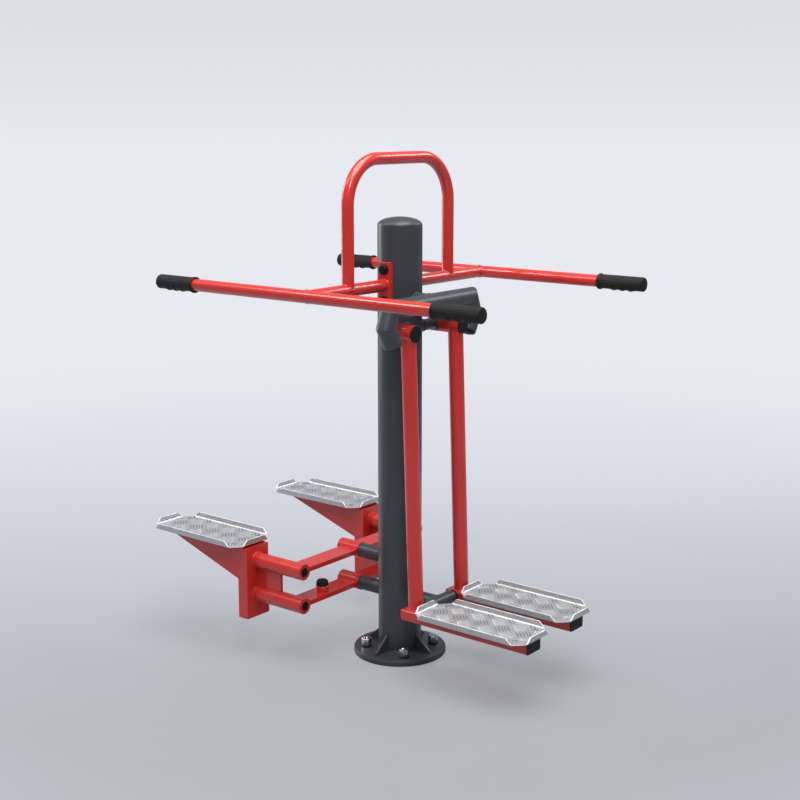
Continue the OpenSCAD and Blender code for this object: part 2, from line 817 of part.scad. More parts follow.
module stop_cups() {
    color(red) for (side = sides) translate([-arm_middle, side * stop_y, lower_z + arm_t / 2]) difference() {
        cylinder(d = stop_cup_d, h = stop_cup_h);
        translate([0, 0, stop_cup_h - stop_recess]) cylinder(d = stop_d, h = stop_recess + over);
    }
}

module stop_domes() {
    color(black) for (side = sides)
        translate([-arm_middle, side * stop_y, lower_z + arm_t / 2 + stop_cup_h - stop_recess])
            round_button(stop_d, stop_recess + stop_dome_h, stop_d / 2 - dome_flat);
}

// Side outline of a pedal bracket's box, with its wedge under the foot plate
module bracket_outline() {
    polygon([[-bracket_front, bracket_foot_z], [-bracket_front, bracket_top], [-wedge_tip, bracket_top],
        [-wedge_tip, bracket_top - wedge_tip_h], [-bracket_rear, wedge_z], [-bracket_rear, bracket_foot_z]]);
}

module bracket_cavity() {
    x_front = -bracket_front - bracket_wall;
    x_rear = -bracket_rear + bracket_wall;
    z_foot = bracket_foot_z + bracket_wall;
    z_top = bracket_top - bracket_wall;
    polygon([[x_front, z_foot], [x_front, z_top], [-wedge_inner_tip, z_top],
        [x_rear, wedge_z + wedge_skin - bracket_wall * wedge_slope], [x_rear, z_foot]]);
}

module bracket(side) {
    tube_len = bracket_front - bracket_tube_front;
    color(red) on_side(side) translate([0, arm_y, 0]) difference() {
        union() {
            rotate([90, 0, 0]) linear_extrude(bracket_w, center = true) bracket_outline();
            for (z = [upper_z, lower_z]) translate([-bracket_tube_front, 0, z]) along_minus_x()
                cylinder(d = pivot_d, h = tube_len);
            translate([-bracket_front, -web_t / 2, lower_z]) cube([tube_len, web_t, rocker_pitch]);
            for (x = [-1, 1])
                translate([-step_plate_x + x * screw_pitch_x / 2 - bar_w / 2, -bar_len / 2, bracket_top])
                    cube([bar_w, bar_len, bar_t]);
            translate([-spine_end, -spine_w / 2, bracket_top - bar_t])
                cube([spine_end - bracket_rear, spine_w, bar_t]);
        }
        rotate([90, 0, 0]) linear_extrude(bracket_w - 2 * bracket_wall, center = true) bracket_cavity();
        for (z = [upper_z, lower_z]) translate([over - bracket_tube_front, 0, z]) along_minus_x()
            cylinder(d = pin_d, h = tube_len + over);
    }
}

module pivot_pins(side) {
    color(bright) on_side(side) for (z = [upper_z, lower_z])
        translate([0, arm_y, z]) along_minus_x() {
            translate([0, 0, pin_end]) cylinder(d = pin_d, h = bracket_front - pin_end);
            translate([0, 0, pin_end]) cylinder(d = pin_washer_d, h = washer_t);
        }
}

module step_plate(side) {
    color(bright) on_side(side) translate([-step_plate_x, arm_y, step_plate_z]) foot_plate();
}

base_plate();
base_gussets();
post();
post_cap();
saddle(left);  // left_saddle
saddle(right);  // right_saddle
clamp_rods();
clamp_caps();
cross_tube(left);  // left_cross_tube
cross_tube(right);  // right_cross_tube
handle_tube(left);  // left_handle_tube
handle_tube(right);  // right_handle_tube
hoop();
grip(left, 1);  // left_front_grip
grip(left, -1);  // left_rear_grip
grip(right, 1);  // right_front_grip
grip(right, -1);  // right_rear_grip
stop_arch();
stop_plugs();
axle_carrier(left);  // left_axle_carrier
axle_carrier(right);  // right_axle_carrier
leg_shafts();
bumper_frame();
bumper_ends();
rocker_axle(upper_z);  // upper_axle
rocker_axle(lower_z);  // lower_axle
rocker_shafts();
leg(left);  // left_leg
leg(right);  // right_leg
leg_bushes(left);  // left_leg_bushes
leg_bushes(right);  // right_leg_bushes
hub_cap(left);  // left_hub_cap
hub_cap(right);  // right_hub_cap
pedal_tube(left);  // left_pedal_tube
pedal_tube(right);  // right_pedal_tube
pedal_plugs(left);  // left_pedal_plugs
pedal_plugs(right);  // right_pedal_plugs
swing_plate(left);  // left_swing_plate
swing_plate(right);  // right_swing_plate
rocker(upper_z);  // upper_rocker
rocker_bushes(upper_z, run_fit);  // upper_rocker_bushes
rocker_caps(upper_z);  // upper_rocker_caps
rocker(lower_z);  // lower_rocker
rocker_bushes(lower_z, open_fit);  // lower_rocker_bushes
rocker_caps(lower_z);  // lower_rocker_caps
stop_cups();
stop_domes();
bracket(left);  // left_bracket
bracket(right);  // right_bracket
pivot_pins(left);  // left_pivot_pins
pivot_pins(right);  // right_pivot_pins
step_plate(left);  // left_step_plate
step_plate(right);  // right_step_plate
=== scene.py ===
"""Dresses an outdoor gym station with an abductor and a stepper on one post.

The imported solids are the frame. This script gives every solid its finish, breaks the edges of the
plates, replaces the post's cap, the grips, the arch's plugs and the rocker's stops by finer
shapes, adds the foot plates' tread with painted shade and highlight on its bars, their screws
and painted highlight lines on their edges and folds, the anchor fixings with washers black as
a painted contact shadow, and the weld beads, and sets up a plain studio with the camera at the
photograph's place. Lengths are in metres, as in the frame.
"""
import json
import logging
import math
from dataclasses import dataclass, field
from enum import Enum

import bmesh
import bpy
from mathutils import Matrix, Vector


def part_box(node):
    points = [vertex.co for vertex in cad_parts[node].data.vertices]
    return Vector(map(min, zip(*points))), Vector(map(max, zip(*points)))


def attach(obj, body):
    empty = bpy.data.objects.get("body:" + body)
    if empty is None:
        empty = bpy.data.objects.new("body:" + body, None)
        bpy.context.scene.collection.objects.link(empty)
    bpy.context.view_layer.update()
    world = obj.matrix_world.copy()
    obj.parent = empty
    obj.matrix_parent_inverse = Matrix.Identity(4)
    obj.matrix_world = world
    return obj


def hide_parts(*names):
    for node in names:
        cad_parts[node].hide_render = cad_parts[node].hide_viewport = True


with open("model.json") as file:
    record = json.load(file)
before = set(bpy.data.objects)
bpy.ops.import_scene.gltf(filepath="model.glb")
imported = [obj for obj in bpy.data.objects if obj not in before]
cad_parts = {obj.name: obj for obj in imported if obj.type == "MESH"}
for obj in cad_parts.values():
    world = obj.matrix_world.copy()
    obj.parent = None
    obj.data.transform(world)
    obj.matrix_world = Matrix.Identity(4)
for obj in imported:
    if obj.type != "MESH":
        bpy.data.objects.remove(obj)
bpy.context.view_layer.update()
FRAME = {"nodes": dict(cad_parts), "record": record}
SAME_PLACE = 1e-6  # Lengths in metres that differ by less are taken as equal.

log = logging.getLogger("station")


class Side(Enum):
    """The two sides of the station, valued by the sign of Y."""

    LEFT = 1
    RIGHT = -1


class BarTurn(Enum):
    """The two directions in which the raised bars of the tread run."""

    ACROSS = -45.0
    ALONG = 45.0


def srgb(code: str) -> tuple[float, float, float, float]:
    """Turns an sRGB hex colour into linear light.

    Args:
        code: The colour as six hex digits, with or without a leading hash.

    Returns:
        The linear red, green, blue and an alpha of 1.
    """
    digits = code.lstrip("#")
    parts = [int(digits[i:i + 2], 16) / 255 for i in (0, 2, 4)]
    linear = [c / 12.92 if c <= 0.04045 else ((c + 0.055) / 1.055) ** 2.4 for c in parts]
    return (linear[0], linear[1], linear[2], 1.0)


def add_node(tree: bpy.types.NodeTree, kind: str, settings: dict | None = None,
             links: dict | None = None) -> bpy.types.Node:
    """Adds a shader node with its settings and its incoming links.

    Args:
        tree: The node tree that gets the node.
        kind: The node's type name.
        settings: Property names, or input names or indices, with their values.
        links: Input names or indices, with the output sockets that feed them.

    Returns:
        The new node.
    """
    node = tree.nodes.new(kind)
    for key, value in (settings or {}).items():
        if isinstance(key, str) and hasattr(node, key):
            setattr(node, key, value)
        else:
            node.inputs[key].default_value = value
    for key, socket in (links or {}).items():
        tree.links.new(socket, node.inputs[key])
    return node


def new_material(name: str) -> tuple[bpy.types.Material, bpy.types.NodeTree, bpy.types.Node]:
    """Makes an empty node material.

    Args:
        name: The material's name.

    Returns:
        The material, its tree and its output node.
    """
    material = bpy.data.materials.new(name)
    material.use_nodes = True
    tree = material.node_tree
    tree.nodes.clear()
    return material, tree, tree.nodes.new("ShaderNodeOutputMaterial")


@dataclass(frozen=True)
class PowderCoat:
    """Polyester powder coat baked on steel: an even satin gloss with a faint orange peel."""

    name: str
    colour: str
    shade: str
    gloss_roughness: float = 0.28
    coat_weight: float = 0.5
    coat_roughness: float = 0.07
    peel: float = 0.0035
    peel_height: float = 0.00005
    peel_strength: float = 0.25
    drift_size: float = 0.35
    gloss_drift: tuple[float, float] = (-0.04, 0.06)
    ior: float = 1.5

    def material(self) -> bpy.types.Material:
        """Builds the coat: a slight drift of colour, a drift of gloss and the orange peel.

        Returns:
            The material.
        """
        material, tree, output = new_material(self.name)
        place = add_node(tree, "ShaderNodeTexCoord")
        drift = add_node(tree, "ShaderNodeTexNoise", {"Scale": 1 / self.drift_size, "Detail": 2.0},
                         {"Vector": place.outputs["Object"]})
        tint = add_node(tree, "ShaderNodeMix", {"data_type": "RGBA", 6: srgb(self.colour),
                                                7: srgb(self.shade)}, {0: drift.outputs["Fac"]})
        gloss = add_node(tree, "ShaderNodeMapRange",
                         {"To Min": self.gloss_roughness + self.gloss_drift[0],
                          "To Max": self.gloss_roughness + self.gloss_drift[1]},
                         {"Value": drift.outputs["Fac"]})
        # Real orange peel is about 1 mm across, too fine for this view, so it is drawn coarser.
        skin = add_node(tree, "ShaderNodeTexNoise", {"Scale": 1 / self.peel, "Detail": 1.0},
                        {"Vector": place.outputs["Object"]})
        bump = add_node(tree, "ShaderNodeBump", {"Strength": self.peel_strength,
                                                 "Distance": self.peel_height},
                        {"Height": skin.outputs["Fac"]})
        coat = add_node(tree, "ShaderNodeBsdfPrincipled",
                        {"IOR": self.ior, "Coat Weight": self.coat_weight,
                         "Coat Roughness": self.coat_roughness},
                        {"Base Color": tint.outputs[2], "Roughness": gloss.outputs["Result"],
                         "Normal": bump.outputs["Normal"]})
        tree.links.new(coat.outputs["BSDF"], output.inputs["Surface"])
        return material


@dataclass(frozen=True)
class MouldedBlack:
    """Black rubber or plastic from a mould: dull, with a fine even grain and dusty patches."""

    name: str
    colour: str
    dust: str
    roughness: float
    grain: float = 0.0016
    grain_height: float = 0.0001
    patch_size: float = 0.06
    specular: float = 0.22
    dust_start: float = 0.45
    dust_full: float = 0.8
    dust_share: float = 0.6
    dull_drift: tuple[float, float] = (-0.05, 0.08)
    grain_strength: float = 0.4
    ior: float = 1.5

    def material(self) -> bpy.types.Material:
        """Builds the moulded surface: a fine grain, and a slight greying in patches.

        Returns:
            The material.
        """
        material, tree, output = new_material(self.name)
        place = add_node(tree, "ShaderNodeTexCoord")
        patches = add_node(tree, "ShaderNodeTexNoise",
                           {"Scale": 1 / self.patch_size, "Detail": 3.0},
                           {"Vector": place.outputs["Object"]})
        level = add_node(tree, "ShaderNodeMapRange", {"From Min": self.dust_start,
                                                      "From Max": self.dust_full,
                                                      "To Max": self.dust_share},
                         {"Value": patches.outputs["Fac"]})
        tint = add_node(tree, "ShaderNodeMix", {"data_type": "RGBA", 6: srgb(self.colour),
                                                7: srgb(self.dust)}, {0: level.outputs["Result"]})
        dull = add_node(tree, "ShaderNodeMapRange",
                        {"To Min": self.roughness + self.dull_drift[0],
                         "To Max": self.roughness + self.dull_drift[1]},
                        {"Value": patches.outputs["Fac"]})
        # The mould's real grain is well under 1 mm, too fine for this view, so it is coarser.
        grain = add_node(tree, "ShaderNodeTexNoise", {"Scale": 1 / self.grain, "Detail": 2.0},
                         {"Vector": place.outputs["Object"]})
        bump = add_node(tree, "ShaderNodeBump", {"Strength": self.grain_strength,
                                                 "Distance": self.grain_height},
                        {"Height": grain.outputs["Fac"]})
        skin = add_node(tree, "ShaderNodeBsdfPrincipled",
                        {"IOR": self.ior, "Specular IOR Level": self.specular},
                        {"Base Color": tint.outputs[2], "Roughness": dull.outputs["Result"],
                         "Normal": bump.outputs["Normal"]})
        tree.links.new(skin.outputs["BSDF"], output.inputs["Surface"])
        return material


@dataclass(frozen=True)
class BrightMetal:
    """Bare rolled aluminium or zinc plate: pale and brushed one way, with cloudy patches."""

    name: str
    colour: str
    cloud: str
    roughness: float
    streak: tuple[float, float, float] = (1.0, 1.0, 1.0)
    cloud_size: float = 0.03
    metallic: float = 1.0
    mark_size: float = 0.0025
    mark_height: float = 0.00005
    mark_strength: float = 0.15
    gloss_drift: tuple[float, float] = (-0.08, 0.1)

    def material(self) -> bpy.types.Material:
        """Builds the metal: clouds in its colour, and rolling marks in its gloss and relief.

        Returns:
            The material.
        """
        material, tree, output = new_material(self.name)
        place = add_node(tree, "ShaderNodeTexCoord")
        clouds = add_node(tree, "ShaderNodeTexNoise", {"Scale": 1 / self.cloud_size, "Detail": 4.0},
                          {"Vector": place.outputs["Object"]})
        tint = add_node(tree, "ShaderNodeMix", {"data_type": "RGBA", 6: srgb(self.colour),
                                                7: srgb(self.cloud)}, {0: clouds.outputs["Fac"]})
        stretch = add_node(tree, "ShaderNodeMapping", {"Scale": self.streak},
                           {"Vector": place.outputs["Object"]})
        # Real rolling marks are tenths of a millimetre apart, so they are drawn coarser too.
        marks = add_node(tree, "ShaderNodeTexNoise", {"Scale": 1 / self.mark_size, "Detail": 2.0},
                         {"Vector": stretch.outputs["Vector"]})
        gloss = add_node(tree, "ShaderNodeMapRange",
                         {"To Min": self.roughness + self.gloss_drift[0],
                          "To Max": self.roughness + self.gloss_drift[1]},
                         {"Value": marks.outputs["Fac"]})
        bump = add_node(tree, "ShaderNodeBump", {"Strength": self.mark_strength,
                                                 "Distance": self.mark_height},
                        {"Height": marks.outputs["Fac"]})
        metal = add_node(tree, "ShaderNodeBsdfPrincipled", {"Metallic": self.metallic},
                         {"Base Color": tint.outputs[2], "Roughness": gloss.outputs["Result"],
                          "Normal": bump.outputs["Normal"]})
        tree.links.new(metal.outputs["BSDF"], output.inputs["Surface"])
        return material


@dataclass(frozen=True)
class FinishBook:
    """Every finish of the station, made once and looked up by the record's slot name."""

    # Baked polyester coat: strong even red, satin, with a soft streak along each tube.
    red: PowderCoat = PowderCoat("red powder coat", "#CE3026", "#C22A21")
    # The same kind of coat in graphite: duller, so the post shows only a broad sheen.
    grey: PowderCoat = PowderCoat("graphite powder coat", "#373D41", "#32383C", 0.4, 0.15, 0.3)
    # Injection moulded caps and plugs, and the anchor washers as painted contact shadow: near
    # black, with a weak sheen.
    plastic: MouldedBlack = MouldedBlack("black moulded cap", "#0E0F10", "#151617", 0.5)
    # Sliding plastic of the bushes: a flat dark grey, seen only as thin rings.
    bush: MouldedBlack = MouldedBlack("black bearing plastic", "#1B1B1D", "#29292B", 0.5)
    # Moulded rubber of the grips, plugs and stops: the dullest black, slightly dusty.
    rubber: MouldedBlack = MouldedBlack("black rubber", "#1B1B1A", "#272726", 0.55)
    # Turned steel of shafts, pins and screws: pale grey metal with a blurred reflection.
    steel: BrightMetal = BrightMetal("turned bright steel", "#B4B6B8", "#A2A4A7", 0.38)
    # Rolled five-bar sheet: pale, cloudy and faintly streaked along the rolling direction.
    tread: BrightMetal = BrightMetal("rolled aluminium", "#D6D7D8", "#A6A7AA", 0.34,
                                     (0.1, 1.0, 1.0), 0.007, 0.6)
    # Bars across the view: a shaded copy of the bar metal, darker than the sheet, as painted shade.
    bar_painted_shade: BrightMetal = BrightMetal("tread bar with painted shade", "#6C6E72", "#7E8083", 0.5,
                                        metallic=0.5)
    # Bars along the view: a lit copy of the bar metal, as bright as the sheet, as painted
    # highlight.
    bar_painted_highlight: BrightMetal = BrightMetal("tread bar with painted highlight", "#D0D1D3", "#C2C3C5", 0.38,
                                          metallic=0.6)
    # The stepper's bars along the view: a dimmer lit copy, between the two, as painted highlight.
    bar_painted_dim_highlight: BrightMetal = BrightMetal("tread bar dulled by use", "#A9ABAE", "#9A9CA0", 0.42,
                                        metallic=0.6)
    # Painted highlight on the top edges, cut corners and folds: almost white lines round each foot
    # plate.
    painted_highlight_lines: BrightMetal = BrightMetal("burnished sheet edge", "#FBFBFC", "#F3F3F5", 0.25,
                                         metallic=0.1)
    # Zinc plated nuts and stud ends: the brightest metal, with small spangled clouds.
    zinc: BrightMetal = BrightMetal("zinc plate", "#CBCFD4", "#B0B5BB", 0.2, cloud_size=0.01)

    def by_slot(self) -> dict[str, bpy.types.Material]:
        """Makes the materials.

        Returns:
            The materials by the record's slot name, and those that only pieces of this script have.
        """
        return {
            "red_powder_coat": self.red.material(),
            "grey_powder_coat": self.grey.material(),
            "black_plastic": self.plastic.material(),
            "bush_plastic": self.bush.material(),
            "black_rubber": self.rubber.material(),
            "bright_steel": self.steel.material(),
            "tread_aluminium": self.tread.material(),
            "zinc": self.zinc.material(),
            "bar_painted_shade": self.bar_painted_shade.material(),
            "bar_painted_highlight": self.bar_painted_highlight.material(),
            "bar_painted_dim_highlight": self.bar_painted_dim_highlight.material(),
            "painted_highlight_lines": self.painted_highlight_lines.material(),
        }


@dataclass
class PieceMaker:
    """Turns finished bmeshes into pieces that ride on the frame's bodies."""

    finishes: dict[str, bpy.types.Material]
    made: list[str] = field(default_factory=list)

    def piece(self, mesh: bmesh.types.BMesh, name: str, body: str, finish: str, slot: str,
              smooth: float = 35.0) -> bpy.types.Object:
        """Makes one piece.

        Args:
            mesh: The shape, in the row frame. It is freed.
            name: The piece's name.
            body: The body it rides on.
            finish: The finish's name in the finish book.
            slot: The record's material slot that it repaints with. It is not used.
            smooth: Edges flatter than this many degrees are shaded smooth.

        Returns:
            The piece's object.
        """
        bmesh.ops.recalc_face_normals(mesh, faces=mesh.faces)
        data = bpy.data.meshes.new(name)
        mesh.to_mesh(data)
        mesh.free()
        data.polygons.foreach_set("use_smooth", [True] * len(data.polygons))
        data.set_sharp_from_angle(angle=math.radians(smooth))
        piece = bpy.data.objects.new(name, data)
        bpy.context.scene.collection.objects.link(piece)
        data.materials.append(self.finishes[finish])
        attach(piece, body)
        self.made.append(name)
        log.info("piece %s on %s, %d faces", name, body, len(data.polygons))
        return piece

    def dress_solids(self, slots: dict[str, str]) -> None:
        """Gives each solid of the frame its finish.

        Args:
            slots: The material slot of each node.
        """
        for node, solid in FRAME["nodes"].items():
            solid.data.materials.clear()
            solid.data.materials.append(self.finishes[slots[node]])
            log.info("finish %s on %s", slots[node], node)


def spin_section(mesh: bmesh.types.BMesh, section: tuple | list, place: Matrix, steps: int) -> None:
    """Adds a round body: a section of radii and heights spun about its own Z axis.

    Args:
        mesh: The mesh that gets the body.
        section: Pairs of a radius and a height, closed by the axis or by its own last edge.
        place: Where the body goes.
        steps: The steps of the turn.
    """
    before = set(mesh.verts)
    verts = [mesh.verts.new((x, 0.0, z)) for x, z in section]
    edges = [mesh.edges.new(pair) for pair in zip(verts, verts[1:])]
    if section[0][0] > 0:
        edges.append(mesh.edges.new((verts[-1], verts[0])))
    bmesh.ops.spin(mesh, geom=verts + edges, cent=(0, 0, 0), axis=(0, 0, 1), angle=2 * math.pi,
                   steps=steps, use_merge=True, use_duplicate=False)
    bmesh.ops.remove_doubles(mesh, verts=[v for v in mesh.verts if v not in before],
                             dist=SAME_PLACE)
    bmesh.ops.transform(mesh, matrix=place, verts=[v for v in mesh.verts if v not in before])


def edges_of(verts: list[bmesh.types.BMVert]) -> list[bmesh.types.BMEdge]:
    """Collects the edges at some vertices, each once and in the vertices' order.

    Args:
        verts: The vertices.

    Returns:
        Their edges.
    """
    return list(dict.fromkeys(edge for vert in verts for edge in vert.link_edges))


@dataclass(frozen=True)
class BrokenEdges:
    """Sharp steel and sheet edges broken by deburring and by the thickness of the coat."""

    widths: tuple[tuple[str, float], ...] = (
        ("base_plate", 0.0022), ("base_gussets", 0.0014), ("left_saddle", 0.0008),
        ("right_saddle", 0.0008),
    )
    weld_distance: float = 0.00001
    segments: int = 2
    sharp_degrees: float = 34.0

    def build(self) -> None:
        """Welds and bevels the solids through modifiers, so their own meshes stay as imported."""
        for node, width in self.widths:
            solid = FRAME["nodes"][node]
            weld = solid.modifiers.new("joined corners", "WELD")
            weld.merge_threshold = self.weld_distance
            bevel = solid.modifiers.new("broken edges", "BEVEL")
            bevel.width = width
            bevel.segments = self.segments
            bevel.limit_method = "ANGLE"
            bevel.angle_limit = math.radians(self.sharp_degrees)
            bevel.use_clamp_overlap = False
            bevel.harden_normals = True
            log.info("edges of %s broken by %.1f mm", node, width * 1000)


@dataclass
class PostCrown:
    """Dished end that closes the post: an elliptical crown over a short straight rim."""

    radius: float = 0.070
    straight: float = 0.004
    rise: float = 0.025
    rings: int = 14
    steps: int = 96

    def build(self, maker: PieceMaker) -> None:
        """Spins the crown's section about the post's axis and stands it on the post.

        Args:
            maker: Takes the finished shapes.
        """
        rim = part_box("post")[1][2]
        mesh = bmesh.new()
        section = [(0.0, rim), (self.radius, rim), (self.radius, rim + self.straight)]
        for i in range(1, self.rings + 1):
            turn = math.pi / 2 * i / self.rings
            section.append((self.radius * math.cos(turn),
                            rim + self.straight + self.rise * math.sin(turn)))
        spin_section(mesh, section, Matrix.Identity(4), self.steps)
        crown = maker.piece(mesh, "post_crown", "base", "grey_powder_coat", "grey_powder_coat",
                            smooth=40)
        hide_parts("post_cap")


@dataclass
class StopPlugs:
    """Domed rubber plugs in the arch's ends, kept clear of the legs at their widest."""

    end_y: float = 0.18799
    end_z: float = 1.05199
    place_x: float = 0.1225
    lean: float = 30.0
    section: tuple[tuple[float, float], ...] = (
        (0.0, -0.014), (0.0268, -0.014), (0.0268, 0.0), (0.0296, 0.0), (0.0296, 0.0026),
        (0.0288, 0.0036), (0.0240, 0.0059), (0.0170, 0.0088), (0.0120, 0.0096), (0.0, 0.0098))
    steps: int = 72

    def build(self, maker: PieceMaker) -> None:
        """Spins one plug on each side.

        Args:
            maker: Takes the finished shapes.
        """
        mesh = bmesh.new()
        for side in Side:
            place = (Matrix.Translation((self.place_x, side.value * self.end_y, self.end_z))
                     @ Matrix.Rotation(math.radians(180 - side.value * self.lean), 4, "X"))
            spin_section(mesh, self.section, place, self.steps)
        plugs = maker.piece(mesh, "stop_plug_mouldings", "base", "black_plastic", "black_rubber")
        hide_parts("stop_plugs")


@dataclass
class StopBuffers:
    """The lower rocker's two rubber stops: a short cup with a thick flat-topped rubber in it."""

    body: str = "lower_rocker_body"
    half_spread: float = 0.160
    cup_section: tuple[tuple[float, float], ...] = (
        (0.0, 0.0), (0.0216, 0.0), (0.0216, 0.0178), (0.0209, 0.0185), (0.0199, 0.0185),
        (0.0199, 0.0145), (0.0, 0.0145))
    rubber_radius: float = 0.0198
    rubber_round: float = 0.0085
    rubber_low: float = 0.0146
    rubber_top: float = 0.0375
    round_steps: int = 8
    steps: int = 64

    def build(self, maker: PieceMaker) -> None:
        """Spins the cups and the rubbers and puts them in the places of the solids.

        Args:
            maker: Takes the finished shapes.
        """
        low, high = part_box("stop_cups")
        flat = self.rubber_radius - self.rubber_round
        rubber = [(0.0, self.rubber_low), (self.rubber_radius, self.rubber_low)]
        for i in range(self.round_steps + 1):
            turn = math.pi / 2 * i / self.round_steps
            rubber.append((flat + self.rubber_round * math.cos(turn),
                           self.rubber_top + self.rubber_round * (math.sin(turn) - 1)))
        rubber.append((0.0, self.rubber_top))
        cups, domes = bmesh.new(), bmesh.new()
        for side in Side:
            place = Matrix.Translation(
                ((low[0] + high[0]) / 2, side.value * self.half_spread, low[2]))
            spin_section(cups, self.cup_section, place, self.steps)
            spin_section(domes, rubber, place, self.steps)
        walls = maker.piece(cups, "stop_cup_walls", self.body, "red_powder_coat",
                            "red_powder_coat", smooth=40)
        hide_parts("stop_cups")
        rubbers = maker.piece(domes, "stop_rubbers", self.body, "black_rubber", "black_rubber",
                              smooth=40)
        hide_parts("stop_domes")


@dataclass
class HandGrip:
    """Closed rubber grip: collar, fine lengthwise ribs and four finger hollows underneath."""

    node: str
    end: int
    radius: float = 0.0224
    collar_radius: float = 0.025
    collar_length: float = 0.009
    collar_round: float = 0.0018
    end_round: float = 0.0045
    bore_radius: float = 0.0191
    rib_count: int = 26
    rib_height: float = 0.0006
    rib_start: float = 0.002
    rib_fade: float = 0.6
    hollow_fall: float = 1.5
    finger_pitch: float = 0.030
    nub_height: float = 0.0034
    nub_length: float = 0.0085
    hollow_depth: float = 0.0009
    mouth_depth: float = 0.004
    rings: int = 150

    def _radius_at(self, x: float, length: float, down: float) -> float:
        """Gives the grip's radius at a place.

        Args:
            x: Distance from the collar's face.
            length: The grip's length.
            down: 1 straight below the axis, 0 at its sides and above.

        Returns:
            The radius, without the ribs.
        """
        if x < self.collar_length:
            near = min(x, self.collar_length - x)
            sunk = self.collar_round - min(near, self.collar_round)
            return self.collar_radius - (self.collar_round - math.sqrt(
                max(self.collar_round ** 2 - sunk ** 2, 0.0)))
        left = length - x
        base = self.radius
        if left < self.end_round:
            sunk = self.end_round - left
            base -= self.end_round - math.sqrt(max(self.end_round ** 2 - sunk ** 2, 0.0))
        middle = (self.collar_length + length) / 2
        nub = 0.0
        for i in (-1, 0, 1):
            away = (x - middle - i * self.finger_pitch) / self.nub_length
            nub = max(nub, math.exp(-away * away))
        hollow = self.hollow_depth if self.collar_length < x < length - self.end_round else 0.0
        return base + down * (self.nub_height * nub - hollow)

    def build(self, maker: PieceMaker) -> None:
        """Builds the grip over its solid, with the tube's bore open at the collar.

        Args:
            maker: Takes the finished shapes.
        """
        low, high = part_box(self.node)
        length = high[0] - low[0]
        centre_y = (low[1] + high[1]) / 2
        centre_z = high[2] - self.collar_radius
        mesh = bmesh.new()
        bmesh.ops.create_cone(mesh, cap_ends=True, segments=4 * self.rib_count, radius1=1,
                              radius2=1, depth=length,
                              matrix=Matrix.Translation((0, 0, length / 2)))
        runs = [e for e in mesh.edges if abs(e.verts[0].co.z - e.verts[1].co.z) > SAME_PLACE]
        bmesh.ops.subdivide_edges(mesh, edges=runs, cuts=self.rings, use_grid_fill=True)
        for vert in mesh.verts:
            turn = math.atan2(vert.co.y, vert.co.x)
            down = max(0.0, math.cos(turn)) ** self.hollow_fall
            x = vert.co.z
            radius = self._radius_at(x, length, down)
            if self.collar_length + self.rib_start < x < length - self.end_round:
                fade = 1 - self.rib_fade * down
                radius += self.rib_height * math.cos(self.rib_count * turn) * fade
            vert.co.x = radius * math.cos(turn)
            vert.co.y = radius * math.sin(turn)
        mouth = [f for f in mesh.faces
                 if f.normal.z < -0.9 and f.calc_center_median().z < SAME_PLACE]
        bmesh.ops.inset_region(mesh, faces=mouth, thickness=self.collar_radius - self.collar_round
                               - self.bore_radius, depth=0)
        bmesh.ops.translate(mesh, verts=list({v for f in mouth for v in f.verts}),
                            vec=(0, 0, self.mouth_depth))
        if self.end > 0:
            turn_in = Matrix.Rotation(math.radians(90), 4, "Y")
            place = Matrix.Translation((low[0], centre_y, centre_z))
        else:
            turn_in = Matrix.Rotation(math.radians(-90), 4, "Y") @ Matrix.Rotation(math.pi, 4, "Z")
            place = Matrix.Translation((high[0], centre_y, centre_z))
        bmesh.ops.transform(mesh, matrix=place @ turn_in, verts=mesh.verts)
        grip = maker.piece(mesh, f"{self.node}_moulding", "base", "black_rubber", "black_rubber",
                           smooth=70)
        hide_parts(self.node)


